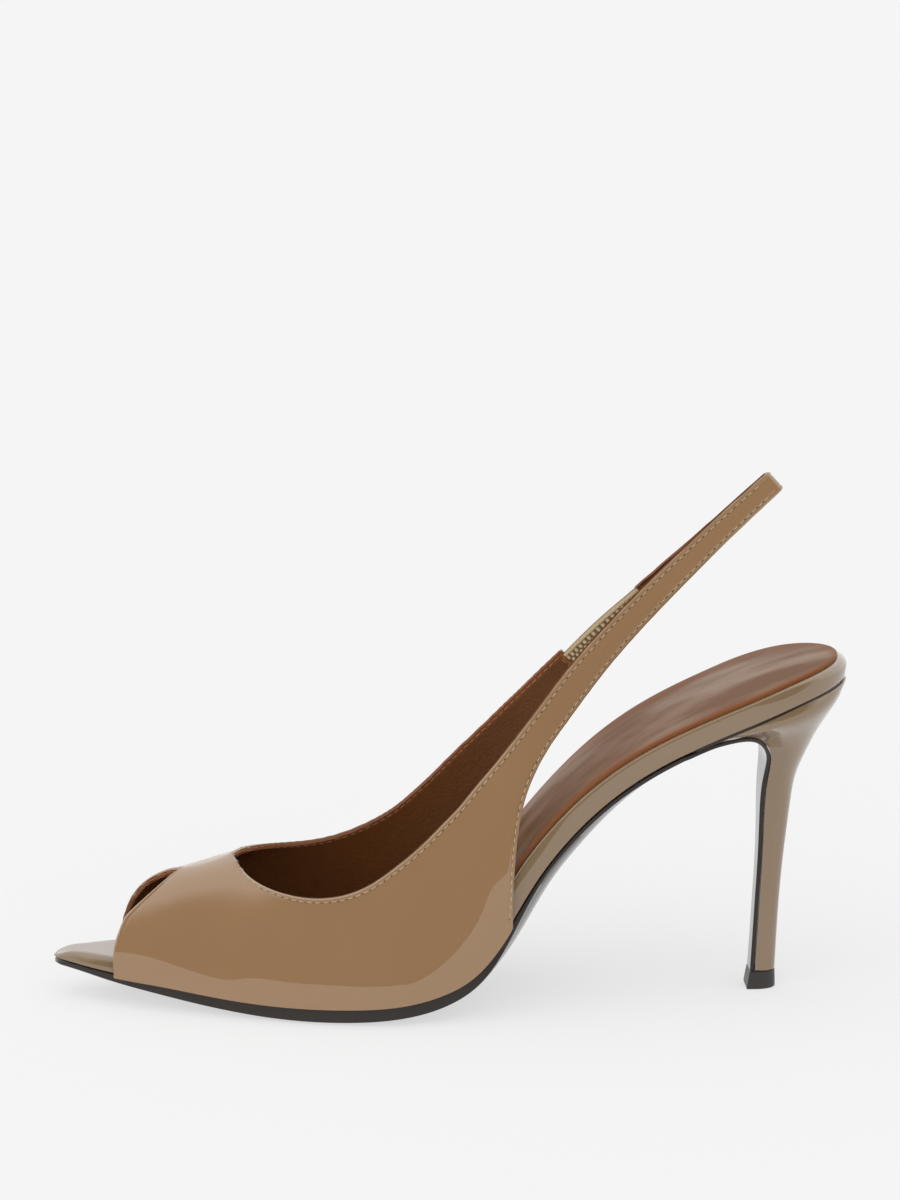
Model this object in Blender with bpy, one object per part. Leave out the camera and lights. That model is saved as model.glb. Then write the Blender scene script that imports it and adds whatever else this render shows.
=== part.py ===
"""A left slingback sandal: pointed peep toe, covered stiletto heel and a thin strap behind the heel.

The shoe is laid out in millimetres. x runs from the tip of the toe to the back of the heel seat, y from
the outer side of the foot (negative) to its inner side, and z up from the floor. Tables hold a row for each
section, and smooth curves run through their rows. The finished meshes are scaled to metres.
"""

import math

import bmesh
import bpy
import numpy as np

# Driving sizes, in millimetres
shoeLength = 238.0
seatCentre = 204.6
seatReach = shoeLength - seatCentre
tipRadius = 2.0
tipSide = 4.3
wall = 1.6
gap = 0.3
featherOut = wall + gap
featherDrop = 0.8
soleInset = 0.3
boardBevel = 1.1
tipBevel = 2.9
tipBevelEnd = 34.0
tipBevelFade = 14.0
sockInset = 2.4
sockThickness = 0.9
sockStart = 27.0
sockFrontRadius = 9.0
sockRound = 0.5
flapThickness = 1.2
flapStart = 186.0
waistTop = 76.0
soleBevel = 0.4
foldRadius = 2.8
heelInset = 0.7
heelSeatRow = 0.15
heelShoulder = 0.35
liftHeight = 5.7
liftFront = 208.6
liftBack = 217.7
liftHalfWidth = 4.2
elasticThickness = 1.0
elasticSunk = 0.3
strapRise = (0.725, 0.0, 0.688)
fullness = 0.37
metre = 0.001

# The board's underside along its outer edge, the board's two edges, its thickness, how far the inner edge is
# raised at the waist, and the sole's depth below the board at its edge and in its middle
soleColumns = ("x", "under", "outer", "inner", "board", "raise", "edge", "dome")
soleRows = (
    (0, 11.6, 2.4, 6.2, 2.4, 0.0, 1.9, 0.2),
    (10, 10.9, -5.3, 10.2, 3.8, 0.0, 2.1, 0.3),
    (18, 10.0, -9.3, 13.8, 4.3, 0.0, 2.8, 0.4),
    (32, 9.0, -15.4, 19.3, 4.3, 0.0, 4.1, 0.6),
    (50, 7.2, -22.5, 26.0, 4.3, 0.0, 4.8, 0.9),
    (70, 6.1, -29.2, 31.8, 4.3, 0.0, 5.3, 1.2),
    (88, 6.3, -33.2, 33.5, 4.3, 0.0, 5.4, 1.3),
    (104, 7.5, -34.0, 30.6, 4.5, 0.0, 5.2, 1.1),
    (116, 10.3, -32.0, 26.6, 4.9, 0.0, 4.9, 1.4),
    (126, 16.0, -29.4, 23.5, 5.5, 0.0, 3.8, 2.6),
    (134, 25.8, -27.1, 21.7, 6.0, 0.0, 2.4, 4.2),
    (142, 38.7, -25.2, 20.7, 6.2, 0.0, 1.5, 5.0),
    (152, 51.6, -23.2, 20.3, 6.2, 0.5, 1.5, 5.0),
    (164, 63.2, -22.3, 20.9, 6.2, 1.5, 1.5, 4.2),
    (178, 73.4, -23.4, 22.8, 6.2, 1.8, 1.5, 2.6),
    (192, 81.3, -25.8, 25.6, 6.2, 0.9, 1.5, 1.2),
    (206, 87.9, -27.7, 27.9, 6.2, 0.0, 1.5, 0.6),
    (222, 93.9, -28.3, 28.3, 6.2, 0.0, 1.5, 0.4),
    (238, 97.6, -28.3, 28.3, 6.2, 0.0, 1.5, 0.4),
)

# The sole's upper face where it leaves the board, runs under the heel's lip and down the heel's front
flapColumns = ("x", "z", "half")
flapRows = (
    (188.1, 78.6, 24.3),
    (196.1, 81.6, 23.2),
    (201.2, 82.5, 21.8),
    (205.0, 82.5, 19.8),
    (208.6, 81.6, 17.3),
    (211.4, 79.5, 14.6),
    (213.2, 76.7, 12.4),
    (213.9, 73.4, 10.3),
    (213.7, 69.5, 8.3),
    (213.1, 64.0, 6.4),
    (212.8, 54.0, 4.7),
    (212.6, 42.0, 4.0),
    (211.9, 27.0, 3.7),
    (211.2, 13.0, 3.8),
    (210.8, 6.0, 4.0),
)

# The heel: the row of the flap at which each section starts, its back, and its half width at its widest
heelColumns = ("flapRow", "backX", "backZ", "half")
heelRows = (
    (0.6, 236.3, 94.2, 26.6),
    (1.2, 235.6, 92.0, 25.4),
    (2.0, 233.7, 88.8, 23.4),
    (3.0, 231.2, 84.9, 20.4),
    (4.0, 229.0, 81.2, 17.6),
    (5.0, 227.1, 77.4, 14.8),
    (6.0, 225.6, 74.0, 12.6),
    (7.0, 224.1, 70.6, 10.4),
    (8.0, 222.9, 67.2, 8.5),
    (9.0, 221.9, 62.4, 6.7),
    (10.0, 220.9, 53.6, 5.0),
    (11.0, 219.6, 42.0, 4.3),
    (12.0, 218.4, 27.0, 3.9),
    (13.0, 217.8, 13.0, 3.9),
    (14.0, 217.5, 6.0, 4.1),
)

# The upper is made of sections that run from its lower edge up to its upper edge. At the front and along the
# ball the lower edge is the feather line round the board, so a row names only where it meets that line.
# "out" is measured sideways from the middle plane, lean is the angle by which the section leans in at its
# upper edge, and bow pushes its middle forward.
frontColumns = ("feather", "x", "out", "z", "lean", "bow")
outerPeepRows = (
    (18.1, 21.8, 8.5, 27.7, 22, 1.6),
    (23.0, 25.3, 7.2, 30.9, 42, 0.9),
    (29.0, 30.2, 5.2, 34.3, 60, 0.3),
    (35.0, 34.9, 2.6, 37.2, 77, 0.0),
    (39.5, 37.9, -1.2, 39.2, 90, 0.0),
)
innerPeepRows = (
    (19.4, 22.9, 12.6, 27.3, 22, 1.1),
    (24.2, 26.0, 11.2, 31.6, 42, 0.7),
    (29.5, 30.3, 8.3, 35.4, 60, 0.2),
    (35.0, 35.0, 4.4, 38.2, 77, 0.0),
    (39.5, 37.9, 1.2, 39.2, 90, 0.0),
)
ridgeRows = (
    (39.5, 37.9, 1.2, 39.2, 90, 0.0),
    (46.0, 46.0, 1.7, 41.2, 90, 0.0),
    (52.0, 54.2, 2.0, 43.7, 90, 0.0),
)
outerCollarRows = (
    (52.0, 54.2, -2.0, 43.7, 90, 0.0),
    (54.8, 55.6, 4.5, 43.0, 74, 0.0),
    (59.0, 58.6, 11.2, 41.1, 58, 0.0),
    (65.0, 63.2, 17.2, 39.0, 44, 0.0),
    (73.0, 69.6, 22.4, 37.6, 33, 0.0),
    (83.0, 77.5, 26.6, 37.3, 25, 0.0),
    (94.0, 86.0, 29.2, 38.8, 19, 0.0),
    (105.0, 94.0, 30.2, 42.2, 15, 0.0),
    (116.0, 101.0, 29.8, 46.9, 13, 0.0),
    (126.0, 106.5, 29.0, 51.1, 12, 0.0),
    (135.6, 111.5, 28.1, 55.5, 11, 0.0),
)
innerCollarRows = (
    (52.0, 54.2, 2.0, 43.7, 90, 0.0),
    (55.0, 56.6, 7.3, 43.7, 76, 0.0),
    (59.5, 60.6, 12.6, 43.2, 61, 0.0),
    (65.5, 66.2, 17.8, 42.3, 48, 0.0),
    (73.5, 72.8, 22.6, 41.3, 37, 0.0),
    (83.0, 80.4, 26.0, 41.2, 28, 0.0),
    (93.0, 88.5, 27.9, 42.8, 22, 0.0),
    (103.5, 96.4, 28.5, 46.0, 18, 0.0),
    (114.0, 103.2, 28.2, 50.1, 15, 0.0),
    (124.5, 109.0, 27.6, 55.1, 13, 0.0),
    (134.6, 114.5, 26.8, 60.5, 11, 0.0),
)

# Behind the feather line the lower edge climbs the back of the flank and becomes the strap's lower edge, so
# a row gives both edges, and swell is the angle by which the section bulges between them
bandColumns = ("lowX", "lowOut", "lowZ", "x", "out", "z", "swell")
outerFlankRows = (
    (136.3, 28.3, 35.5, 116.0, 27.0, 60.0, 10),
    (136.8, 27.5, 45.5, 120.6, 25.9, 64.6, 9),
    (137.7, 26.4, 55.0, 125.2, 24.6, 69.8, 7),
    (139.6, 24.6, 64.5, 130.0, 23.2, 75.2, 5),
    (142.8, 22.0, 72.5, 135.0, 21.6, 80.9, 4),
    (147.3, 18.9, 79.9, 140.4, 19.3, 87.1, 3),
    (153.0, 15.8, 87.1, 146.4, 16.4, 94.3, 3),
    (159.8, 12.7, 95.5, 153.2, 13.3, 102.3, 3),
    (168.0, 9.6, 105.0, 161.8, 10.2, 111.4, 3),
    (178.5, 7.0, 116.1, 172.8, 7.4, 122.3, 2),
    (190.3, 5.0, 127.9, 184.8, 5.2, 133.6, 1),
    (203.0, 3.6, 140.3, 197.8, 3.8, 145.7, 0),
    (215.6, 3.0, 152.2, 210.9, 3.0, 157.4, 0),
)
strapReturnRows = (
    (215.8, 2.4, 151.5, 211.2, 2.4, 156.5, 0),
    (203.2, 2.2, 139.6, 198.0, 2.2, 144.9, 0),
    (191.2, 2.6, 128.4, 186.0, 2.7, 134.2, 1),
    (179.6, 3.9, 117.5, 174.1, 4.1, 123.3, 1),
)
innerFlankRows = (
    (135.9, 22.8, 35.8, 119.0, 26.1, 65.2, 9),
    (136.6, 23.0, 46.0, 123.5, 25.3, 69.9, 8),
    (137.7, 22.9, 56.0, 128.0, 24.3, 74.5, 7),
    (139.8, 22.2, 65.5, 132.7, 23.1, 79.4, 5),
    (143.2, 20.9, 73.6, 137.6, 21.5, 84.7, 4),
    (148.0, 19.1, 81.4, 142.8, 19.7, 90.3, 3),
    (154.0, 17.1, 89.3, 148.1, 17.6, 96.3, 3),
    (160.0, 14.9, 96.0, 153.4, 15.4, 102.1, 3),
)
elasticRows = (
    (158.9, 14.9, 97.9, 155.0, 15.1, 101.8, 0),
    (163.8, 10.9, 103.8, 159.5, 11.1, 107.7, 0),
    (170.4, 6.9, 111.0, 166.1, 7.0, 115.2, 0),
    (177.8, 4.1, 118.4, 173.6, 4.2, 122.5, 0),
)

# How far the upper leans outward where it leaves the feather line
flareColumns = ("x", "flare")
flareRows = (
    (18, 5.0),
    (32, 4.0),
    (50, 2.0),
    (70, -1.0),
    (88, -1.0),
    (104, 4.0),
    (118, 8.0),
    (136, 10.0),
)


def naturalSpline(knots, values, at):
    """Smooth cubic through the values at the knots, with no bend at its ends."""
    knots = np.asarray(knots, float)
    values = np.asarray(values, float)
    count = len(knots)
    step = np.diff(knots)
    system = np.eye(count)
    right = np.zeros_like(values)
    for i in range(1, count - 1):
        system[i, i - 1:i + 2] = step[i - 1], 2.0 * (step[i - 1] + step[i]), step[i]
        right[i] = 6.0 * ((values[i + 1] - values[i]) / step[i] - (values[i] - values[i - 1]) / step[i - 1])
    bend = np.linalg.solve(system, right)
    at = np.clip(np.asarray(at, float), knots[0], knots[-1])
    span = np.clip(np.searchsorted(knots, at, side="right") - 1, 0, count - 2)
    before = (knots[span + 1] - at) / step[span]
    after = 1.0 - before
    square = step[span] ** 2 / 6.0
    if values.ndim > 1:
        before, after, square = before[..., None], after[..., None], square[..., None]
    line = before * values[span] + after * values[span + 1]
    return line + ((before ** 3 - before) * bend[span] + (after ** 3 - after) * bend[span + 1]) * square


def columnCurve(rows, columns, name, at):
    """One column of a table whose first column is its place along the shoe."""
    table = np.asarray(rows, float)
    return naturalSpline(table[:, 0], table[:, columns.index(name)], at)


def readRows(rows, columns, count):
    """Every column of a table by name, read smoothly at evenly spaced places from its first row to its last."""
    table = np.asarray(rows, float)
    values = naturalSpline(np.arange(len(table)), table, np.linspace(0, len(table) - 1, count))
    return dict(zip(columns, values.T))


def sole(name, x):
    return columnCurve(soleRows, soleColumns, name, x)


def edgeSide(x, side):
    """The board's edge at x: the outer one for side -1 and the inner one for side 1."""
    x = np.asarray(x, float)
    edge = sole("outer" if side < 0 else "inner", x)
    nose = np.sqrt(np.clip(1.0 - np.clip(1.0 - x / tipRadius, 0, 1) ** 2, 0, 1))
    seat = np.sqrt(np.clip(1.0 - np.clip((x - seatCentre) / seatReach, 0, 1) ** 2, 0, 1))
    return (tipSide + (edge - tipSide) * nose) * seat


def onLast(x, y, height):
    """A point at plan place x, y and the given height square to the board's underside."""
    x, y, height = np.broadcast_arrays(np.asarray(x, float), y, height)
    step = 0.2
    rise = sole("under", x + step) - sole("under", x - step)
    run = np.clip(x + step, 0, shoeLength) - np.clip(x - step, 0, shoeLength)
    length = np.hypot(rise, run)
    outer, inner = sole("outer", x), sole("inner", x)
    across = np.clip((y - outer) / (inner - outer), 0, 1)
    under = sole("under", x) + sole("raise", x) * across
    return np.stack([x - height * rise / length, y, under + height * run / length], axis=-1)


def stations(start, end, count, ends=0.5):
    """Places from start to end, closer together at both ends."""
    even = np.linspace(0, 1, count)
    round_ = (1 - np.cos(math.pi * even)) / 2
    return start + (end - start) * ((1 - ends) * even + ends * round_)


def insetOutline(x, outer, inner, amount):
    """Both edges of an outline, moved inward in plan by an amount for each station."""
    loop = np.concatenate([np.stack([x, outer], 1), np.stack([x, inner], 1)[-2:0:-1]])
    ahead = np.roll(loop, -1, axis=0) - loop
    behind = loop - np.roll(loop, 1, axis=0)
    ahead /= np.linalg.norm(ahead, axis=1)[:, None]
    behind /= np.linalg.norm(behind, axis=1)[:, None]
    along = ahead + behind
    along /= np.linalg.norm(along, axis=1)[:, None]
    inward = np.stack([-along[:, 1], along[:, 0]], 1)
    amounts = np.concatenate([amount, amount[-2:0:-1]])
    moved = loop + inward * amounts[:, None]
    count = len(x)
    first = moved[:count]
    second = np.concatenate([moved[:1], moved[count:][::-1], moved[count - 1:count]])
    return first, second


def plateLayer(x, outer, inner, inset, height, columns):
    """A grid of points across an outline that is inset and raised by an amount for each station."""
    first, second = insetOutline(x, outer, inner, np.broadcast_to(inset, x.shape).astype(float))
    across = np.linspace(0, 1, columns + 1)[None, :, None]
    plan = first[:, None, :] * (1 - across) + second[:, None, :] * across
    height = np.broadcast_to(np.asarray(height, float), x.shape)[:, None]
    return onLast(plan[..., 0], plan[..., 1], height)


def gridFaces(shape, offset, flip=False):
    rows, columns = shape
    index = np.arange(rows * columns).reshape(rows, columns) + offset
    quads = np.stack([index[:-1, :-1], index[1:, :-1], index[1:, 1:], index[:-1, 1:]], -1).reshape(-1, 4)
    return quads[:, ::-1] if flip else quads


def borderOf(shape, offset):
    rows, columns = shape
    index = np.arange(rows * columns).reshape(rows, columns) + offset
    return np.concatenate([index[:, 0], index[-1, 1:], index[-2::-1, -1], index[0, -2:0:-1]])


def addMesh(name, points, faces, colour, roughness, metallic=0.0, closed=True):
    """A new object from points in millimetres, with doubled points joined and its own material."""
    mesh = bpy.data.meshes.new(name)
    mesh.from_pydata((points * metre).tolist(), [], [list(map(int, face)) for face in faces])
    work = bmesh.new()
    work.from_mesh(mesh)
    bmesh.ops.remove_doubles(work, verts=work.verts, dist=2e-6)
    bmesh.ops.dissolve_degenerate(work, edges=work.edges, dist=2e-6)
    if closed:
        bmesh.ops.recalc_face_normals(work, faces=work.faces)
    bmesh.ops.triangulate(work, faces=work.faces)
    work.to_mesh(mesh)
    work.free()
    mesh.shade_smooth()
    mesh.set_sharp_from_angle(angle=math.radians(40))
    material = bpy.data.materials.new(name)
    material.use_nodes = True
    shader = material.node_tree.nodes["Principled BSDF"]
    shader.inputs["Base Color"].default_value = (*colour, 1.0)
    shader.inputs["Roughness"].default_value = roughness
    shader.inputs["Metallic"].default_value = metallic
    mesh.materials.append(material)
    made = bpy.data.objects.new(name, mesh)
    bpy.context.scene.collection.objects.link(made)
    return made


def stackSolid(name, layers, colour, roughness):
    """A closed body from grids stacked one above another: the first and last are its faces."""
    shape = layers[0].shape[:2]
    size = shape[0] * shape[1]
    points = np.concatenate([layer.reshape(-1, 3) for layer in layers])
    faces = list(gridFaces(shape, 0, flip=True)) + list(gridFaces(shape, size * (len(layers) - 1)))
    for level in range(len(layers) - 1):
        low = borderOf(shape, size * level)
        high = borderOf(shape, size * (level + 1))
        faces += list(np.stack([low, np.roll(low, -1), np.roll(high, -1), high], 1))
    return addMesh(name, points, faces, colour, roughness)


def boardEdges(x):
    return edgeSide(x, -1), edgeSide(x, 1)


def makeBoard():
    x = stations(0, shoeLength, 44, 0.45)
    outer, inner = boardEdges(x)
    thick = sole("board", x)
    toe = np.clip((tipBevelEnd - x) / tipBevelFade, 0, 1) * np.clip(x / tipSide / 2, 0, 1)
    bevel = boardBevel + (tipBevel - boardBevel) * toe
    layers = [
        plateLayer(x, outer, inner, soleBevel, 0.0, 4),
        plateLayer(x, outer, inner, 0.0, soleBevel, 4),
    ]
    for angle in (0, 35, 65):
        turn = math.radians(angle)
        inset = bevel * (1 - math.cos(turn))
        layers.append(plateLayer(x, outer, inner, inset, thick - bevel * (1 - math.sin(turn)), 4))
    layers.append(plateLayer(x, outer, inner, bevel, thick, 4))
    return stackSolid("insole_board", layers, (0.30, 0.19, 0.10), 0.15)


def makeSock():
    x = stations(sockStart, shoeLength - sockInset, 40, 0.6)
    outer, inner = boardEdges(x)
    front = np.sqrt(np.clip(1.0 - np.clip(1.0 - (x - sockStart) / sockFrontRadius, 0, 1) ** 2, 0, 1))
    back = np.clip((x - seatCentre) / (shoeLength - sockInset - seatCentre), 0, 1)
    rear = np.sqrt(np.clip(1.0 - back ** 2, 0, 1))
    middle = (outer + inner) / 2
    half = (inner - outer) / 2 - sockInset
    flat = np.where(x > seatCentre, sole("inner", x) - sockInset, half)
    outer = middle * rear - flat * front * rear
    inner = middle * rear + flat * front * rear
    base = sole("board", x) + gap
    layers = [
        plateLayer(x, outer, inner, 0.0, base, 4),
        plateLayer(x, outer, inner, 0.0, base + sockThickness - sockRound, 4),
        plateLayer(x, outer, inner, sockRound, base + sockThickness, 4),
    ]
    return stackSolid("sock", layers, (0.20, 0.10, 0.05), 0.45)


def flapGrid(row, across, height, trim=0.0):
    """Points on the flap: its table row, the share of the way across, and the height over its upper face."""
    table = np.asarray(flapRows, float)
    along = np.concatenate([[0], np.cumsum(np.hypot(*np.diff(table[:, :2], axis=0).T))])
    at = np.interp(row, np.arange(len(table)), along)
    centre = dict(zip(flapColumns, naturalSpline(along, table, at).T[:, :, None]))
    step = 0.1
    ahead = naturalSpline(along, table, at + step) - naturalSpline(along, table, at - step)
    run, rise = ahead[:, :2].T[:, :, None] / np.hypot(ahead[:, 0], ahead[:, 1])[:, None]
    lift = sole("raise", centre["x"]) * (centre["z"] > waistTop)
    return np.stack(np.broadcast_arrays(
        centre["x"] - height * rise,
        (centre["half"] - trim) * (2 * across - 1),
        centre["z"] + height * run + lift * across,
    ), -1)


def makeOutsole():
    across = np.linspace(0, 1, 9)
    count = 40
    x = np.concatenate([stations(0, flapStart, count, 0.6), stations(flapStart, shoeLength, 8)[1:]])
    outer, inner = boardEdges(x)
    depth = sole("edge", x[:count])[:, None]
    dome = (sole("dome", x[:count]) * np.clip(x[:count] / tipSide, 0, 1))[:, None]
    middle = 1 - np.abs(2 * across[None, :] - 1) ** 3
    row = np.linspace(0, len(flapRows) - 1, 29)
    flapDome = np.clip(1.2 - row / 4, 0, 1)[:, None]

    def layer(inset, top, domed, lowered):
        first, second = insetOutline(x, outer, inner, np.full(x.shape, soleInset + inset))
        first, second = first[:count, None], second[:count, None]
        plan = first * (1 - across[None, :, None]) + second * across[None, :, None]
        down = gap if top else depth - lowered
        down = down + (dome * middle if domed else 0.0)
        board = onLast(plan[..., 0], plan[..., 1], -down)
        deep = 0.0 if top else flapThickness - lowered
        deep = deep + (flapDome * middle if domed else 0.0)
        flap = flapGrid(row, across, -deep, inset)
        grid = np.concatenate([board, flap])
        grid[..., 2] = np.maximum(grid[..., 2], 0.0)
        return grid

    layers = [layer(soleBevel, False, True, 0.0), layer(0.0, False, False, soleBevel), layer(0.0, True, False, 0.0)]
    return stackSolid("outsole", layers, (0.03, 0.022, 0.018), 0.4)


def dSection(front, backX, backZ, half, along, columns):
    """A section that starts at a straight front edge, given as points across it, and is round at its back."""
    place = np.asarray(along)[:, None]
    side = np.linspace(-1, 1, columns + 1)[None, :]
    frontHalf = front[-1, 1]
    swell = frontHalf + (half - frontHalf) * np.clip(place / heelShoulder, 0, 1) ** 0.8
    taper = np.sqrt(np.clip(1 - np.clip((place - heelShoulder) / (1 - heelShoulder), 0, 1) ** 2, 0, 1))
    return np.stack([
        front[None, :, 0] * (1 - place) + backX * place,
        swell * taper * side,
        front[None, :, 2] * (1 - place) + backZ * place,
    ], -1)


def makeHeel():
    along = np.sin(np.linspace(0, math.pi / 2, 13)) ** 1.15
    columns = 6
    across = np.linspace(0, 1, columns + 1)
    startX = flapGrid(np.array([heelSeatRow]), across, gap)[0, 0, 0]
    seatX = startX + (shoeLength - heelInset - startX) * along
    outer, inner = boardEdges(np.clip(seatX + heelInset, 0, shoeLength))
    shrink = np.clip(1 - (heelInset + gap) / np.maximum(np.abs(inner), heelInset + gap), 0, 1)
    plan = (outer * shrink)[:, None] * (1 - across[None, :]) + (inner * shrink)[:, None] * across[None, :]
    layers = [onLast(seatX[:, None], plan, -gap)]
    row = readRows(heelRows, heelColumns, 29)
    fronts = flapGrid(row["flapRow"], across, gap, gap / 2)
    for front, backX, backZ, half in zip(fronts, row["backX"], row["backZ"], row["half"]):
        layers.append(dSection(front, backX, backZ, half, along, columns))
    return stackSolid("heel", layers, (0.30, 0.19, 0.10), 0.15)


def makeLift():
    along = np.sin(np.linspace(0, math.pi / 2, 9))
    side = np.linspace(-1, 1, 5)
    layers = []
    for height, inset in ((0.0, 0.3), (0.4, 0.0), (liftHeight, 0.1)):
        half = liftHalfWidth - inset
        front = np.stack([0 * side + liftFront + inset, half * side, 0 * side + height], -1)
        layers.append(dSection(front, liftBack - inset, height, half, along, 4))
    return stackSolid("top_lift", layers, (0.02, 0.016, 0.014), 0.5)


def featherPoint(x, side):
    """A point on the feather line: out from the board's edge and a little below its underside."""
    edge = edgeSide(x, side)
    slope = (edgeSide(x + 0.5, side) - edgeSide(x - 0.5, side))
    return onLast(x, edge + side * featherOut * np.sqrt(1 + slope ** 2), -featherDrop)


def sectionCurves(low, high, flare, lean, bow, side, rows):
    """Curved sections from the lower edge to the upper one, as a grid of points."""
    rise = high - low
    flat = np.hypot(rise[:, 0], rise[:, 2])
    up = np.stack([rise[:, 0] / flat, 0 * flat, rise[:, 2] / flat], 1)
    forward = np.stack([-up[:, 2], 0 * flat, up[:, 0]], 1)
    outward = np.array([0.0, side, 0.0])
    reach = np.linalg.norm(rise, axis=1) * fullness
    flare, lean = np.radians(flare), np.radians(lean)
    leave = up * np.cos(flare)[:, None] + outward * np.sin(flare)[:, None]
    arrive = up * np.cos(lean)[:, None] - outward * np.sin(lean)[:, None]
    first = low + leave * reach[:, None]
    second = high - arrive * reach[:, None]
    t = np.linspace(0, 1, rows + 1)[None, :, None]
    curve = ((1 - t) ** 3 * low[:, None] + 3 * (1 - t) ** 2 * t * first[:, None]
             + 3 * (1 - t) * t ** 2 * second[:, None] + t ** 3 * high[:, None])
    return curve + forward[:, None] * (4 * t * (1 - t) * np.asarray(bow)[:, None, None])


def frontSections(table, side, count, rows):
    """Sections whose lower edge is on the feather line."""
    row = readRows(table, frontColumns, count)
    low = featherPoint(row["feather"], side)
    high = np.stack([row["x"], side * row["out"], row["z"]], 1)
    flare = columnCurve(flareRows, flareColumns, "flare", row["feather"])
    return sectionCurves(low, high, flare, row["lean"], row["bow"], side, rows)


def bandSections(table, side, count, rows):
    """Sections with both edges given."""
    row = readRows(table, bandColumns, count)
    low = np.stack([row["lowX"], side * row["lowOut"], row["lowZ"]], 1)
    high = np.stack([row["x"], side * row["out"], row["z"]], 1)
    chord = np.degrees(np.arctan2(side * (low - high)[:, 1], np.linalg.norm(high - low, axis=1)))
    return sectionCurves(low, high, row["swell"] - chord, row["swell"] + chord, 0 * chord, side, rows)


def cornerRow(collarRows, side):
    """The last collar section, written as the first row of the flank behind it."""
    last = dict(zip(frontColumns, collarRows[-1]))
    low = featherPoint(np.array([last["feather"]]), side)[0]
    return ((low[0], side * low[1], low[2], last["x"], last["out"], last["z"], last["lean"]),)


def foldSections(last, first, count, rows):
    """The strap's turn round the back: half circles between its two strands."""
    turn = np.linspace(0, math.pi, count)[1:-1, None, None]
    middle = (last + first)[None] / 2
    half = (first - last)[None] / 2
    return middle - half * np.cos(turn) + np.array(strapRise) * np.sin(turn) * foldRadius


def makeUpper():
    rows = 6
    outerRidge = [(feather, x, -side, *rest) for feather, x, side, *rest in ridgeRows]
    outer = [
        frontSections(outerPeepRows, -1, 7, rows),
        frontSections(outerRidge, -1, 4, rows)[1:],
        frontSections(outerCollarRows, -1, 24, rows)[1:],
        bandSections(cornerRow(outerCollarRows, -1) + outerFlankRows, -1, 34, rows)[1:],
    ]
    back = bandSections(strapReturnRows, 1, 8, rows)
    outer += [foldSections(outer[-1][-1], back[0], 9, rows), back]
    inner = [
        frontSections(innerPeepRows, 1, 7, rows),
        frontSections(ridgeRows, 1, 4, rows)[1:],
        frontSections(innerCollarRows, 1, 24, rows)[1:],
        bandSections(cornerRow(innerCollarRows, 1) + innerFlankRows, 1, 18, rows)[1:],
    ]
    outer, inner = np.concatenate(outer), np.concatenate(inner)
    points = np.concatenate([outer.reshape(-1, 3), inner.reshape(-1, 3)])
    faces = list(gridFaces(outer.shape[:2], 0))
    faces += list(gridFaces(inner.shape[:2], outer.shape[0] * outer.shape[1], flip=True))
    made = addMesh("upper", points, faces, (0.30, 0.19, 0.10), 0.15, closed=False)
    thick = made.modifiers.new("wall", "SOLIDIFY")
    thick.thickness = wall * metre
    thick.offset = -1.0
    thick.use_even_offset = True
    thick.use_quality_normals = True
    return made


def makeElastic():
    face = bandSections(elasticRows, 1, 8, 3)
    along = np.gradient(face, axis=0)
    across = np.gradient(face, axis=1)
    square = np.cross(along, across)
    square /= np.linalg.norm(square, axis=-1, keepdims=True)
    square *= np.sign(square[..., 1:2])
    layers = [face - square * (elasticSunk + elasticThickness), face - square * elasticSunk]
    return stackSolid("elastic_gore", layers, (0.45, 0.33, 0.18), 0.8)


def centreOnFloor(made):
    """Moves every mesh so that the middle of the whole lies over the origin and its lowest point at zero."""
    bpy.context.view_layer.update()
    reach = []
    graph = bpy.context.evaluated_depsgraph_get()
    for item in made:
        mesh = item.evaluated_get(graph).to_mesh()
        places = np.empty(len(mesh.vertices) * 3)
        mesh.vertices.foreach_get("co", places)
        reach.append(places.reshape(-1, 3))
    reach = np.concatenate(reach)
    low, high = reach.min(axis=0), reach.max(axis=0)
    shift = -np.array([(low[0] + high[0]) / 2, (low[1] + high[1]) / 2, low[2]])
    for item in made:
        for vertex in item.data.vertices:
            vertex.co = [vertex.co[axis] + shift[axis] for axis in range(3)]
    print("shift in millimetres", np.round(shift / metre, 3), "size", np.round((high - low) / metre, 2))


def main():
    for item in list(bpy.data.objects):
        bpy.data.objects.remove(item, do_unlink=True)
    made = [makeBoard(), makeSock(), makeOutsole(), makeHeel(), makeLift(), makeUpper(), makeElastic()]
    centreOnFloor(made)


main()
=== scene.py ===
import math

import bmesh
import bpy
import numpy as np
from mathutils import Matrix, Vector


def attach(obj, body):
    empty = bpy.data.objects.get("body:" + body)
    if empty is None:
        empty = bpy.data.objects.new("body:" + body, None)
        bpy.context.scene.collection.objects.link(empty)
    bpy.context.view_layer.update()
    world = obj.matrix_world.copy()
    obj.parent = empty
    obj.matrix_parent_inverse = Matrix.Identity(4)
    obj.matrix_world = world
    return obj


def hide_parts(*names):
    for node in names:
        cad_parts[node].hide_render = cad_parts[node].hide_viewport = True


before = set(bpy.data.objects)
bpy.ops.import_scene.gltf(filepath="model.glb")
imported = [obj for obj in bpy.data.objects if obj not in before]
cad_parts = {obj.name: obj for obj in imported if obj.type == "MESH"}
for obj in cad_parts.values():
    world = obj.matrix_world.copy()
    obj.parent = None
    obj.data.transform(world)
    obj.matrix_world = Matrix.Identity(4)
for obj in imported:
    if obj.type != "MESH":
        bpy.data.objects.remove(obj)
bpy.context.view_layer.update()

# Everything below is worked out in millimetres, with x from the tip of the toe to the back of the heel seat,
# y from the outer side of the foot (negative) to the inner side and z up from the floor. "place" carries it
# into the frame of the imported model, in metres.
place = {"x": -118.972, "y": 0.303, "metre": 0.001}

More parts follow.
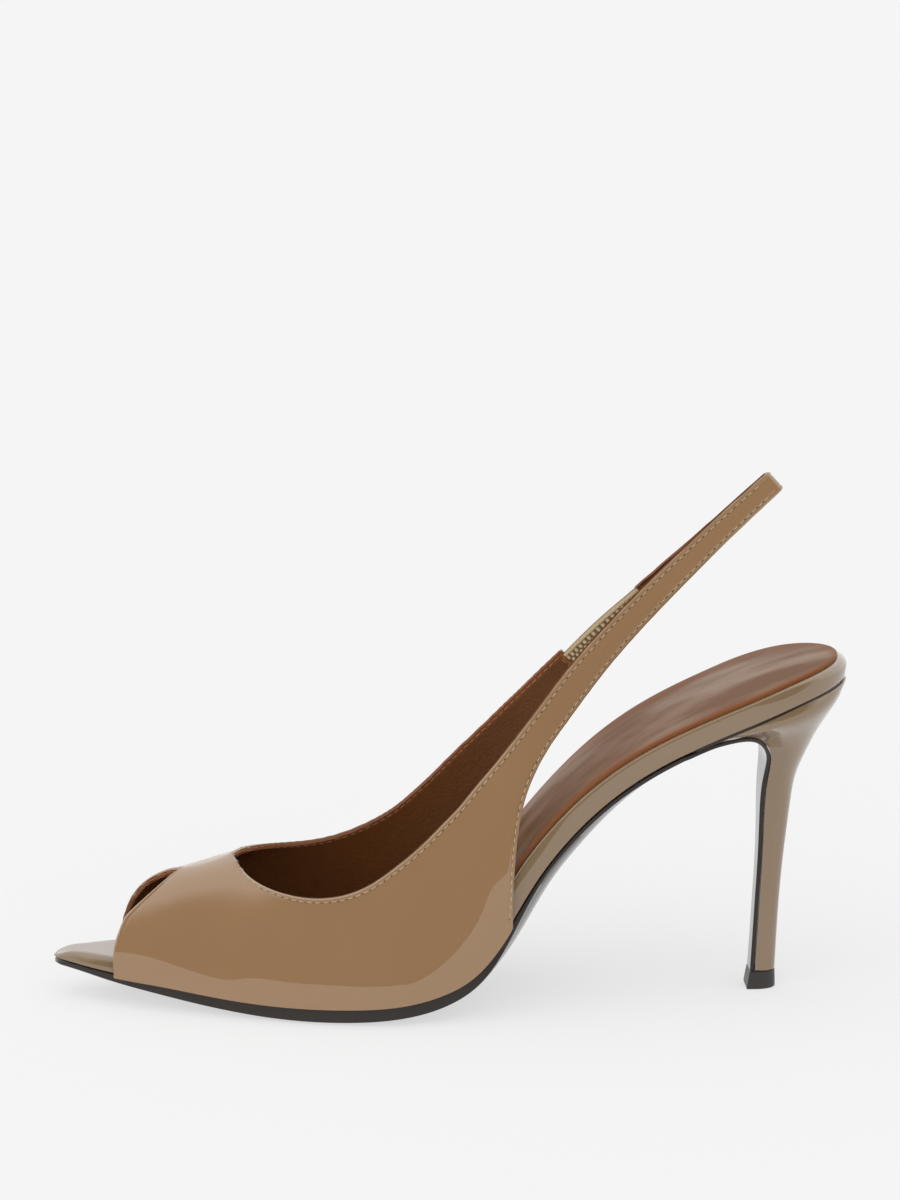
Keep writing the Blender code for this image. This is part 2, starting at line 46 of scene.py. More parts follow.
board = {
    "length": 238.0,
    "seatCentre": 204.6,
    "tipRadius": 2.0,
    "tipSide": 4.3,
    "edgeRound": 0.75,
    "tipRound": 2.9,
    "tipRoundEnd": 34.0,
    "tipRoundFade": 14.0,
    "underRound": 0.5,
    "seatRound": 1.9,
    "seatRoundFrom": 212.0,
    "seatRoundFade": 24.0,
    "undercut": 0.6,
    "undercutFrom": 130.0,
    "undercutFade": 50.0,
}
gap = 0.3  # between pieces that meet

# The board's underside along its outer edge, its two edges, its thickness, how far the inner edge is raised
# at the waist, and the sole's depth below the board at its edge and in its middle
soleColumns = ("x", "under", "outer", "inner", "board", "raise", "edge", "dome")
soleRows = (
    (0, 11.6, 2.4, 6.2, 2.4, 0.0, 1.9, 0.2),
    (10, 10.9, -5.3, 10.2, 3.8, 0.0, 2.1, 0.3),
    (18, 10.0, -9.3, 13.8, 4.3, 0.0, 2.8, 0.4),
    (32, 9.0, -15.4, 19.3, 4.3, 0.0, 4.1, 0.6),
    (50, 7.2, -22.5, 26.0, 4.3, 0.0, 4.8, 0.9),
    (70, 6.1, -29.2, 31.8, 4.3, 0.0, 5.3, 1.2),
    (88, 6.3, -33.2, 33.5, 4.3, 0.0, 5.4, 1.3),
    (104, 7.5, -34.0, 30.6, 4.5, 0.0, 5.2, 1.1),
    (116, 10.3, -32.0, 26.6, 4.9, 0.0, 4.9, 1.4),
    (126, 16.0, -29.4, 23.5, 5.5, 0.0, 3.8, 2.6),
    (134, 25.8, -27.1, 21.7, 6.0, 0.0, 2.4, 4.2),
    (142, 38.7, -25.2, 20.7, 6.2, 0.0, 1.5, 5.0),
    (152, 51.6, -23.2, 20.3, 6.2, 0.5, 1.5, 5.0),
    (164, 63.2, -22.3, 20.9, 6.2, 1.5, 1.5, 4.2),
    (178, 73.4, -23.4, 22.8, 6.2, 1.8, 1.5, 2.6),
    (192, 81.3, -25.8, 25.6, 6.2, 0.9, 1.5, 1.2),
    (206, 87.9, -27.7, 27.9, 6.2, 0.0, 1.5, 0.6),
    (222, 93.9, -28.3, 28.3, 6.2, 0.0, 1.5, 0.4),
    (238, 97.6, -28.3, 28.3, 6.2, 0.0, 1.5, 0.4),
)


def smoothCurve(knots, values, at):
    # natural cubic: in each span the two end values are blended in a straight line, plus a cubic of the bends
    knots = np.asarray(knots, float)
    values = np.asarray(values, float)
    count = len(knots)
    step = np.diff(knots)
    system = np.eye(count)
    right = np.zeros_like(values)
    inner = np.arange(1, count - 1)
    system[inner, inner - 1] = step[:-1]
    system[inner, inner] = 2 * (step[:-1] + step[1:])
    system[inner, inner + 1] = step[1:]
    slope = (np.diff(values, axis=0).T / step).T
    right[1:-1] = 6 * np.diff(slope, axis=0)
    bend = np.linalg.solve(system, right)
    at = np.clip(np.asarray(at, float), knots[0], knots[-1])
    span = np.clip(np.searchsorted(knots, at, side="right") - 1, 0, count - 2)
    before = (knots[span + 1] - at) / step[span]
    after = 1 - before
    square = step[span] ** 2 / 6
    if values.ndim > 1:
        before, after, square = before[..., None], after[..., None], square[..., None]
    line = before * values[span] + after * values[span + 1]
    return line + ((before ** 3 - before) * bend[span] + (after ** 3 - after) * bend[span + 1]) * square


def columnCurve(rows, columns, name, at):
    # one named column of a table, as a smooth curve over the table's first column
    table = np.asarray(rows, float)
    return smoothCurve(table[:, 0], table[:, columns.index(name)], at)


def sole(name, x):
    # a named measure of the sole at stations along it
    return columnCurve(soleRows, soleColumns, name, x)


def readRows(rows, columns, at):
    # every column by name, read smoothly at fractional row numbers
    table = np.asarray(rows, float)
    return dict(zip(columns, smoothCurve(np.arange(len(table)), table, at).T))


def edgeSide(x, side):
    # the board's edge: the table's curve, closed by a round nose at the tip and a quarter ellipse at the seat
    x = np.asarray(x, float)
    edge = sole("outer" if side < 0 else "inner", x)
    nose = np.sqrt(np.clip(1 - np.clip(1 - x / board["tipRadius"], 0, 1) ** 2, 0, 1))
    reach = board["length"] - board["seatCentre"]
    seat = np.sqrt(np.clip(1 - np.clip((x - board["seatCentre"]) / reach, 0, 1) ** 2, 0, 1))
    return (board["tipSide"] + (edge - board["tipSide"]) * nose) * seat


def onLast(x, y, height):
    # plan place x, y, at a height square to the board's underside
    x, y, height = np.broadcast_arrays(np.asarray(x, float), y, height)
    step = 0.2
    rise = sole("under", x + step) - sole("under", x - step)
    run = np.clip(x + step, 0, board["length"]) - np.clip(x - step, 0, board["length"])
    length = np.hypot(rise, run)
    outer, inner = sole("outer", x), sole("inner", x)
    across = np.clip((y - outer) / (inner - outer), 0, 1)
    under = sole("under", x) + sole("raise", x) * across
    return np.stack([x - height * rise / length, y, under + height * run / length], axis=-1)


def unit(vectors):
    # the same directions with a length of one
    return vectors / np.linalg.norm(vectors, axis=-1, keepdims=True)


def stations(start, end, count, ends):
    # evenly spaced places, drawn towards both ends by a cosine
    even = np.linspace(0, 1, count)
    drawn = (1 - np.cos(math.pi * even)) / 2
    return start + (end - start) * ((1 - ends) * even + ends * drawn)


def roundedStations(count, start=0.0, end=board["length"]):
    # stations along the board, closer together round the nose and round the seat
    nose = board["tipRadius"] * (1 - np.cos(np.linspace(0, math.pi / 2, 13)))
    reach = end - board["seatCentre"]
    seat = board["seatCentre"] + reach * np.sin(np.linspace(0, math.pi / 2, 49))
    middle = np.linspace(nose[-1] + 0.5, board["seatCentre"] - 1, count)
    if start:
        nose = start + nose * 4
        middle = np.linspace(nose[-1] + 1, board["seatCentre"] - 1, count)
    return np.concatenate([nose, middle, seat])


def insetOutline(x, outer, inner, amount):
    # both edges of an outline moved inward in plan, square to the outline, by an amount for each station
    loop = np.concatenate([np.stack([x, outer], 1), np.stack([x, inner], 1)[-2:0:-1]])
    ahead = np.roll(loop, -1, axis=0) - loop
    behind = loop - np.roll(loop, 1, axis=0)
    along = unit(unit(ahead) + unit(behind))
    inward = np.stack([-along[:, 1], along[:, 0]], 1)
    moved = loop + inward * np.concatenate([amount, amount[-2:0:-1]])[:, None]
    count = len(x)
    return moved[:count], np.concatenate([moved[:1], moved[count:][::-1], moved[count - 1:count]])


def plateLayer(x, outer, inner, inset, height, columns):
    # a grid across an outline: each station runs straight from one inset edge to the other
    first, second = insetOutline(x, outer, inner, np.broadcast_to(inset, x.shape).astype(float))
    across = np.linspace(0, 1, columns + 1)[None, :, None]
    plan = first[:, None, :] * (1 - across) + second[:, None, :] * across
    height = np.broadcast_to(np.asarray(height, float), x.shape)[:, None]
    return onLast(plan[..., 0], plan[..., 1], height)


def gridFaces(shape, offset=0, flip=False):
    # one square face between every four neighbouring points of a grid
    rows, columns = shape
    index = np.arange(rows * columns).reshape(rows, columns) + offset
    quads = np.stack([index[:-1, :-1], index[1:, :-1], index[1:, 1:], index[:-1, 1:]], -1).reshape(-1, 4)
    return quads[:, ::-1] if flip else quads


def borderOf(shape, offset):
    # the numbers of a grid's border points, once round
    rows, columns = shape
    index = np.arange(rows * columns).reshape(rows, columns) + offset
    return np.concatenate([index[:, 0], index[-1, 1:], index[-2::-1, -1], index[0, -2:0:-1]])


def addPiece(name, points, faces, material, closed=True, sharp=50, relief=None):
    # a mesh from points in millimetres, with doubled points merged, riding on the shoe's only body
    mesh = bpy.data.meshes.new(name)
    moved = (np.asarray(points) + np.array([place["x"], place["y"], 0])) * place["metre"]
    mesh.from_pydata(moved, [], faces)
    if relief is not None:
        values = mesh.attributes.new("relief", "FLOAT", "POINT")
        values.data.foreach_set("value", np.asarray(relief, float).ravel())
    work = bmesh.new()
    work.from_mesh(mesh)
    bmesh.ops.remove_doubles(work, verts=work.verts, dist=2e-6)
    bmesh.ops.dissolve_degenerate(work, edges=work.edges, dist=2e-6)
    if closed:
        bmesh.ops.recalc_face_normals(work, faces=work.faces)
    work.to_mesh(mesh)
    work.free()
    mesh.shade_smooth()
    mesh.set_sharp_from_angle(angle=math.radians(sharp))
    mesh.materials.append(material)
    piece = bpy.data.objects.new(name, mesh)
    bpy.context.scene.collection.objects.link(piece)
    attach(piece, "root")
    return piece


def stackPiece(name, layers, material, sharp=50, relief=None):
    # a closed body from grids stacked one above another: the first and last grids are its faces
    shape = layers[0].shape[:2]
    size = shape[0] * shape[1]
    points = np.concatenate([layer.reshape(-1, 3) for layer in layers])
    faces = [gridFaces(shape, 0, flip=True), gridFaces(shape, size * (len(layers) - 1))]
    for level in range(len(layers) - 1):
        low = borderOf(shape, size * level)
        high = borderOf(shape, size * (level + 1))
        faces.append(np.stack([low, np.roll(low, -1), np.roll(high, -1), high], 1))
    if relief is not None:
        relief = np.concatenate([some.ravel() for some in relief])
    return addPiece(name, points, np.concatenate(faces), material, sharp=sharp, relief=relief)


# Shader groups

def newGroup(name, inputs, outputs):
    # an empty shader group with named sockets
    group = bpy.data.node_groups.new(name, "ShaderNodeTree")
    for label, kind, value in inputs:
        socket = group.interface.new_socket(label, in_out="INPUT", socket_type=kind)
        socket.default_value = value
    for label, kind in outputs:
        group.interface.new_socket(label, in_out="OUTPUT", socket_type=kind)
    return group, group.nodes.new("NodeGroupInput"), group.nodes.new("NodeGroupOutput")


def mathNode(nodes, links, operation, first, second):
    # a Math node whose two inputs are numbers or sockets
    node = nodes.new("ShaderNodeMath")
    node.operation = operation
    for index, value in enumerate((first, second)):
        if isinstance(value, (int, float)):
            node.inputs[index].default_value = value
        else:
            links.new(value, node.inputs[index])
    return node.outputs[0]


def mixColour(nodes, links, factor, first, second):
    # a colour that runs from the first to the second with the factor
    node = nodes.new("ShaderNodeMix")
    node.data_type = "RGBA"
    for socket, value in ((node.inputs[0], factor), (node.inputs[6], first), (node.inputs[7], second)):
        if isinstance(value, (tuple, int, float)):
            socket.default_value = value
        else:
            links.new(value, socket)
    return node.outputs[2]


def makeGrainGroup():
    # fine pebbled leather: cells give the pebbles, finer noise roughens them, and the height is their sum
    group, given, result = newGroup("leatherGrain", [
        ("Vector", "NodeSocketVector", (0, 0, 0)),
        ("Cells Per Metre", "NodeSocketFloat", 1500.0),
        ("Unevenness", "NodeSocketFloat", 0.5),
    ], [("Height", "NodeSocketFloat"), ("Mottle", "NodeSocketFloat")])
    nodes, links = group.nodes, group.links
    cells = nodes.new("ShaderNodeTexVoronoi")
    cells.feature = "SMOOTH_F1"
    cells.inputs["Smoothness"].default_value = 0.6
    links.new(given.outputs["Vector"], cells.inputs["Vector"])
    links.new(given.outputs["Cells Per Metre"], cells.inputs["Scale"])
    fine = nodes.new("ShaderNodeTexNoise")
    links.new(given.outputs["Vector"], fine.inputs["Vector"])
    fineScale = mathNode(nodes, links, "MULTIPLY", given.outputs["Cells Per Metre"], 1.7)
    links.new(fineScale, fine.inputs["Scale"])
    uneven = mathNode(nodes, links, "MULTIPLY", fine.outputs["Fac"], given.outputs["Unevenness"])
    total = mathNode(nodes, links, "ADD", cells.outputs["Distance"], uneven)
    links.new(total, result.inputs["Height"])
    broad = nodes.new("ShaderNodeTexNoise")
    links.new(given.outputs["Vector"], broad.inputs["Vector"])
    broad.inputs["Detail"].default_value = 4
    broadScale = mathNode(nodes, links, "MULTIPLY", given.outputs["Cells Per Metre"], 0.03)
    links.new(broadScale, broad.inputs["Scale"])
    links.new(broad.outputs["Fac"], result.inputs["Mottle"])
    return group


grainGroup = makeGrainGroup()


def newMaterial(name, **values):
    # a material with its Principled shader's values set, and the object's own coordinates
    material = bpy.data.materials.new(name)
    material.use_nodes = True
    shader = material.node_tree.nodes["Principled BSDF"]
    for label, value in values.items():
        shader.inputs[label].default_value = value
    coordinates = material.node_tree.nodes.new("ShaderNodeTexCoord")
    return material, shader, coordinates.outputs["Object"]


def addGrain(material, shader, vector, cells, uneven, strength, depth):
    # the grain group as a bump; the broad mottle comes back for the colour
    nodes, links = material.node_tree.nodes, material.node_tree.links
    grain = nodes.new("ShaderNodeGroup")
    grain.node_tree = grainGroup
    grain.inputs["Cells Per Metre"].default_value = cells
    grain.inputs["Unevenness"].default_value = uneven
    links.new(vector, grain.inputs["Vector"])
    bump = nodes.new("ShaderNodeBump")
    bump.inputs["Strength"].default_value = strength
    bump.inputs["Distance"].default_value = depth
    links.new(grain.outputs["Height"], bump.inputs["Height"])
    links.new(bump.outputs["Normal"], shader.inputs["Normal"])
    return grain.outputs["Mottle"]


def stretched(material, vector, along, across, up):
    # coordinates scaled by a different amount in each direction
    node = material.node_tree.nodes.new("ShaderNodeMapping")
    node.inputs["Scale"].default_value = (along, across, up)
    material.node_tree.links.new(vector, node.inputs["Vector"])
    return node.outputs["Vector"]


patent = {"light": (0.272, 0.152, 0.066, 1), "dark": (0.256, 0.142, 0.059, 1), "coatIor": 1.68}
heelPatent = {"light": (0.198, 0.125, 0.062, 1), "dark": (0.186, 0.116, 0.056, 1), "coatIor": 1.75}


def makePatent(name, look):
    # smooth leather under a clear coat like a mirror
    material, shader, vector = newMaterial(
        name, **{"Coat Weight": 1.0, "Coat Roughness": 0.02, "Coat IOR": look["coatIor"]})
    shader.inputs["IOR"].default_value = 1.35
    nodes, links = material.node_tree.nodes, material.node_tree.links
    mottle = addGrain(material, shader, vector, 2200, 0.6, 0.08, 0.00004)
    colour = mixColour(nodes, links, mottle, look["dark"], look["light"])
    links.new(colour, shader.inputs["Base Color"])
    shader.inputs["Roughness"].default_value = 0.42
    return material


def makeLeather(name, dark, light, roughness, cells, strength, depth, rim=None):
    # grained leather in two shades; with a rim colour, the piece's "relief" attribute says where its edge is
    material, shader, vector = newMaterial(name, Roughness=roughness)
    mottle = addGrain(material, shader, vector, cells, 0.7, strength, depth)
    nodes, links = material.node_tree.nodes, material.node_tree.links
    colour = mixColour(nodes, links, mottle, dark, light)
    if rim is not None:
        edge = nodes.new("ShaderNodeAttribute")
        edge.attribute_name = "relief"
        colour = mixColour(nodes, links, edge.outputs["Fac"], colour, rim)
        shader.inputs["Specular IOR Level"].default_value = 0.3
    links.new(colour, shader.inputs["Base Color"])
    return material


def makeSockLeather():
    # satin leather with long soft streaks along its length: they change the gloss, and their lighter, greyer
    # colour is a painted sheen
    material, shader, vector = newMaterial("sockLeather")
    nodes, links = material.node_tree.nodes, material.node_tree.links
    addGrain(material, shader, vector, 1600, 0.6, 0.12, 0.00006)
    streaks = nodes.new("ShaderNodeTexNoise")
    streaks.inputs["Scale"].default_value = 1
    streaks.inputs["Detail"].default_value = 5
    links.new(stretched(material, vector, 26, 80, 26), streaks.inputs["Vector"])
    contrast = nodes.new("ShaderNodeMapRange")
    contrast.inputs["From Min"].default_value = 0.4
    contrast.inputs["From Max"].default_value = 0.68
    links.new(streaks.outputs["Fac"], contrast.inputs["Value"])
    sheenMask = contrast.outputs["Result"]
    # the streaks' lighter grey-brown is a painted sheen laid into the colour
    colour = mixColour(nodes, links, sheenMask, (0.16, 0.072, 0.03, 1), (0.26, 0.165, 0.1, 1))
    edge = nodes.new("ShaderNodeAttribute")
    edge.attribute_name = "relief"
    dyed = mixColour(nodes, links, edge.outputs["Fac"], colour, (0.20, 0.07, 0.022, 1))
    links.new(dyed, shader.inputs["Base Color"])
    shader.inputs["Specular IOR Level"].default_value = 0.13
    gloss = nodes.new("ShaderNodeMapRange")
    gloss.inputs["To Min"].default_value = 0.55
    gloss.inputs["To Max"].default_value = 0.38
    links.new(sheenMask, gloss.inputs["Value"])
    links.new(gloss.outputs["Result"], shader.inputs["Roughness"])
    return material


def makeSoleLeather(name, weight, ior):
    # polished near-black leather; the underside is more highly polished than the trimmed edge
    material, shader, vector = newMaterial(
        name, **{"Coat Weight": weight, "Coat Roughness": 0.14, "Coat IOR": ior, "IOR": 1.35})
    nodes, links = material.node_tree.nodes, material.node_tree.links
    mottle = addGrain(material, shader, vector, 2600, 0.9, 0.1, 0.00005)
    colour = mixColour(nodes, links, mottle, (0.016, 0.011, 0.009, 1), (0.03, 0.022, 0.018, 1))
    links.new(colour, shader.inputs["Base Color"])
    shader.inputs["Roughness"].default_value = 0.4
    return material


def makePlain(name, colour, roughness):
    # one colour with a faint mottle
    material, shader, vector = newMaterial(name, Roughness=roughness)
    nodes, links = material.node_tree.nodes, material.node_tree.links
    mottle = addGrain(material, shader, vector, 3000, 0.8, 0.15, 0.00005)
    darker = tuple(part * 0.75 for part in colour[:3]) + (1,)
    links.new(mixColour(nodes, links, mottle, darker, colour), shader.inputs["Base Color"])
    return material


patentMaterial = makePatent("taupePatent", patent)
heelPatentMaterial = makePatent("taupePatentHeel", heelPatent)
liningMaterial = makeLeather(
    "liningLeather", (0.08, 0.026, 0.006, 1), (0.15, 0.054, 0.014, 1), 0.4, 1100, 0.9, 0.0002,
    rim=(0.30, 0.10, 0.034, 1))
cutEdgeMaterial = makeLeather(
    "cutLeatherEdge", (0.15, 0.045, 0.014, 1), (0.24, 0.08, 0.026, 1), 0.6, 2500, 0.4, 0.0001)
sockMaterial = makeSockLeather()
soleEdgeMaterial = makeSoleLeather("soleEdge", 0.3, 1.45)
soleMaterial = makeSoleLeather("soleLeather", 1.0, 1.7)
liftMaterial = makePlain("liftRubber", (0.03, 0.025, 0.021, 1), 0.38)
threadMaterial = makePlain("taupeThread", (0.47, 0.35, 0.22, 1), 0.5)
innerThreadMaterial = makePlain("tanThread", (0.38, 0.19, 0.07, 1), 0.5)
# the needle holes' dark brown is painted shade for the holes
holeShadeMaterial = makePlain("needleHoleShade", (0.09, 0.05, 0.025, 1), 0.8)


def makeElasticYarn():
    # pale on the raised loops, brown where the band lies low between them
    material, shader, vector = newMaterial("elasticYarn", Roughness=0.6)
    nodes, links = material.node_tree.nodes, material.node_tree.links
    loops = nodes.new("ShaderNodeAttribute")
    loops.attribute_name = "relief"
    colour = mixColour(nodes, links, loops.outputs["Fac"], (0.15, 0.09, 0.035, 1), (0.60, 0.47, 0.28, 1))
    links.new(colour, shader.inputs["Base Color"])
    addGrain(material, shader, vector, 3500, 0.8, 0.2, 0.00006)
    return material


elasticMaterial = makeElasticYarn()
print("materials made")


# Insole board: taupe patent over a 6 mm board, domed at the pointed tip

def boardEdges(x):
    # the outer and the inner edge at each station
    return edgeSide(x, -1), edgeSide(x, 1)


def makeBoard():
    # the outline stacked up through a small round below and a larger one above, which is a dome at the tip;
    # towards the seat the edge leans in a little at its foot
    x = roundedStations(190)
    outer, inner = boardEdges(x)
    thick = sole("board", x) * (0.3 + 0.7 * np.clip(x / 4.0, 0, 1) ** 0.6)
    toe = np.clip((board["tipRoundEnd"] - x) / board["tipRoundFade"], 0, 1)
    toe = toe * np.clip(x / board["tipSide"] / 2, 0, 1)
    fillet = board["edgeRound"] + (board["tipRound"] - board["edgeRound"]) * toe
    rear = np.clip((x - board["seatRoundFrom"]) / board["seatRoundFade"], 0, 1) ** 2
    fillet = np.minimum(fillet + board["seatRound"] * rear, thick * 0.8)
    low = np.minimum(board["underRound"] + 0.9 * rear, thick * 0.15 + 0.5)
    lean = board["undercut"] * np.clip((x - board["undercutFrom"]) / board["undercutFade"], 0, 1)
    columns = 14
    layers = [plateLayer(x, outer, inner, low + lean, 0.0, columns)]
    for turn in np.radians([30, 60, 90]):
        inset, height = lean + low * (1 - math.sin(turn)), low * (1 - math.cos(turn))
        layers.append(plateLayer(x, outer, inner, inset, height, columns))
    for turn in np.radians([0, 12, 24, 36, 48, 60, 75]):
        height = thick - fillet * (1 - math.sin(turn))
        layers.append(plateLayer(x, outer, inner, fillet * (1 - math.cos(turn)), height, columns))
    layers.append(plateLayer(x, outer, inner, fillet, thick, columns))
    piece = stackPiece("insoleBoard", layers, heelPatentMaterial)
    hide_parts("insole_board")


sock = {
    "inset": 2.2,
    "thickness": 1.0,
    "start": 27.0,
    "frontRadius": 9.0,
    "round": 0.45,
    "crown": 0.35,
    "dyedNear": 3.5,
    "dyedFar": 9.0,
}


def makeSock():
    # the board's outline moved in, with a round front; its face is a shallow crown and its rim is rolled
    x = roundedStations(170, sock["start"], board["length"] - sock["inset"])
    outer, inner = boardEdges(x)
    front = np.sqrt(np.clip(1 - np.clip(1 - (x - sock["start"]) / sock["frontRadius"], 0, 1) ** 2, 0, 1))
    back = np.clip((x - board["seatCentre"]) / (board["length"] - sock["inset"] - board["seatCentre"]), 0, 1)
    rear = np.sqrt(np.clip(1 - back ** 2, 0, 1))
    middle = (outer + inner) / 2
    half = (inner - outer) / 2 - sock["inset"]
    flat = np.where(x > board["seatCentre"], sole("inner", x) - sock["inset"], half)
    outer = middle * rear - flat * front * rear
    inner = middle * rear + flat * front * rear
    base = sole("board", x) + gap / 3
    columns = 20
    layers = [plateLayer(x, outer, inner, 0.0, base, columns)]
    layers.append(plateLayer(x, outer, inner, 0.0, base + sock["thickness"] - sock["round"], columns))
    for turn in np.radians([30, 60]):
        rise = base + sock["thickness"] - sock["round"] * (1 - math.sin(turn))
        layers.append(plateLayer(x, outer, inner, sock["round"] * (1 - math.cos(turn)), rise, columns))
    layers.append(plateLayer(x, outer, inner, sock["round"], base + sock["thickness"], columns))
    across = np.linspace(-1, 1, columns + 1)[None, :]
    layers[-1][..., 2] += sock["crown"] * (1 - across ** 2) * (front * rear)[:, None]
    # how near each point is to the rim, for the dyed edge
    width = (inner - outer)[:, None] / 2
    inward = np.minimum(width * (1 - np.abs(across)), (x[-1] - x)[:, None] * 1.5)
    dyed = np.where(across > 0, sock["dyedFar"], sock["dyedNear"])
    near = 1 - np.clip((inward - sock["round"]) / dyed, 0, 1)
    rims = [np.ones_like(near)] * (len(layers) - 1) + [near]
    piece = stackPiece("sock", layers, sockMaterial, sharp=80, relief=rims)
    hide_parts("sock")


# Outsole: thick under the ball, thin along the waist, running on down the front of the heel

outsole = {
    "inset": 0.3,
    "round": 0.5,
    "flapStart": 186.0,
    "flapThickness": 1.2,
    "waistTop": 76.0,
    "edgeFacing": 0.55,
}
flapColumns = ("x", "z", "half")
flapRows = (
    (188.1, 78.6, 24.3),
    (196.1, 81.6, 23.2),
    (201.2, 82.5, 21.8),
    (205.0, 82.5, 19.8),
    (208.6, 81.6, 17.3),
    (211.4, 79.5, 14.6),
    (213.2, 76.7, 12.4),
    (213.9, 73.4, 10.3),
    (213.7, 69.5, 8.3),
    (213.1, 64.0, 6.4),
    (212.8, 54.0, 4.7),
    (212.6, 42.0, 4.0),
    (211.9, 27.0, 3.7),
    (211.2, 13.0, 3.8),
    (210.8, 6.0, 4.0),
)


def flapGrid(row, across, height, trim=0.0):
    # the flap at fractional table rows: a curve through the rows, widened across and raised square to itself
    table = np.asarray(flapRows, float)
    along = np.concatenate([[0], np.cumsum(np.hypot(*np.diff(table[:, :2], axis=0).T))])
    at = np.interp(row, np.arange(len(table)), along)
    centre = dict(zip(flapColumns, smoothCurve(along, table, at).T[:, :, None]))
    step = 0.1
    ahead = smoothCurve(along, table, at + step) - smoothCurve(along, table, at - step)
    run, rise = ahead[:, :2].T[:, :, None] / np.hypot(ahead[:, 0], ahead[:, 1])[:, None]
    lift = sole("raise", centre["x"]) * (centre["z"] > outsole["waistTop"])
    return np.stack(np.broadcast_arrays(
        centre["x"] - height * rise,
        (centre["half"] - trim) * (2 * across - 1),
        centre["z"] + height * run + lift * across,
    ), -1)


def makeOutsole():
    # grids from below upward, each inset by the round of the edge; the underside domes between its edges, and
    # every grid runs on into the flap
    across = stations(0, 1, 25, 0.6)
    count = 170
    nose = board["tipRadius"] * (1 - np.cos(np.linspace(0, math.pi / 2, 13)))
    x = np.concatenate([nose, np.linspace(nose[-1] + 0.5, outsole["flapStart"], count - 13),
                        stations(outsole["flapStart"], board["length"], 40, 0.5)[1:]])
    outer, inner = boardEdges(x)
    depth = sole("edge", x[:count])[:, None]
    dome = (sole("dome", x[:count]) * np.clip(x[:count] / board["tipSide"], 0, 1))[:, None]
    middle = 1 - np.abs(2 * across[None, :] - 1) ** 3
    row = np.linspace(0, len(flapRows) - 1, 140)
    flapDome = np.clip(1.2 - row / 4, 0, 1)[:, None]

    def layer(inset, lowered, bottom):
        # one grid, lowered from the face that it belongs to
        first, second = insetOutline(x, outer, inner, np.full(x.shape, outsole["inset"] + inset))
        first, second = first[:count, None], second[:count, None]
        plan = first * (1 - across[None, :, None]) + second * across[None, :, None]
        down = (depth - lowered) if bottom else gap + lowered
        flapDown = (outsole["flapThickness"] - lowered) if bottom else lowered
        if bottom and inset >= outsole["round"]:
            down = down + dome * middle
            flapDown = flapDown + flapDome * middle
        under = onLast(plan[..., 0], plan[..., 1], -down)
        grid = np.concatenate([under, flapGrid(row, across, -flapDown, inset)])
        grid[..., 2] = np.maximum(grid[..., 2], 0)
        return grid

    curve = outsole["round"]
    layers = []
    for turn in np.radians([0, 22, 45, 68, 90]):
        layers.append(layer(curve * (1 - math.sin(turn)), curve * (1 - math.cos(turn)), True))
    layers.append(layer(0.0, 0.2, False))
    layers.append(layer(0.2, 0.0, False))
    piece = stackPiece("outsole", layers, soleMaterial, sharp=40)
    piece.data.materials.append(soleEdgeMaterial)
    normals = np.empty(len(piece.data.polygons) * 3)
    piece.data.polygons.foreach_get("normal", normals)
    edge = np.abs(normals.reshape(-1, 3)[:, 1]) > outsole["edgeFacing"]
    piece.data.polygons.foreach_set("material_index", edge.astype(int))
    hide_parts("outsole")


# Heel: sections with a straight front and a round back, from the seat down to the top lift

heel = {
    "inset": 0.7,
    "seatRow": 0.15,
    "shoulder": 0.35,
    "smooth": 45,
    "open": 0.5,
    "openFrom": 196.0,
    "openFade": 40.0,
    "frontTaper": 0.07,
    "frontTaperLength": 12.0,
    "shadePlateInset": 1.2,
}
heelColumns = ("flapRow", "backX", "backZ", "half")
heelRows = (
    (0.6, 236.3, 94.2, 26.6),
    (1.2, 235.6, 92.0, 25.4),
    (2.0, 233.7, 88.8, 23.4),
    (3.0, 231.2, 84.9, 20.4),
    (4.0, 229.0, 81.2, 17.6),
    (5.0, 227.1, 77.4, 14.8),
    (6.0, 225.6, 74.0, 12.6),
    (7.0, 224.1, 70.6, 10.4),
    (8.0, 222.9, 67.2, 8.5),
    (9.0, 221.9, 62.4, 6.7),
    (10.0, 220.9, 53.6, 5.0),
    (11.0, 219.6, 42.0, 4.3),
    (12.0, 218.4, 27.0, 3.9),
    (13.0, 217.8, 13.0, 3.9),
    (14.0, 217.5, 6.0, 4.1),
)


def dSection(front, backX, backZ, half, along, columns, shoulder):
    # straight at its front, wider up to the shoulder, then a quarter ellipse on each side to the back
    depth = np.asarray(along)[:, None]
    side = np.linspace(-1, 1, columns + 1)[None, :]
    frontHalf = front[-1, 1]
    blend = np.clip(depth / (shoulder + 0.2), 0, 1)
    swell = frontHalf + (half - frontHalf) * blend ** 2 * (3 - 2 * blend)
    taper = np.sqrt(np.clip(1 - np.clip((depth - shoulder) / (1 - shoulder), 0, 1) ** 2, 0, 1))
    return np.stack([
        front[None, :, 0] * (1 - depth) + backX * depth,
        swell * taper * side,
        front[None, :, 2] * (1 - depth) + backZ * depth,
    ], -1)


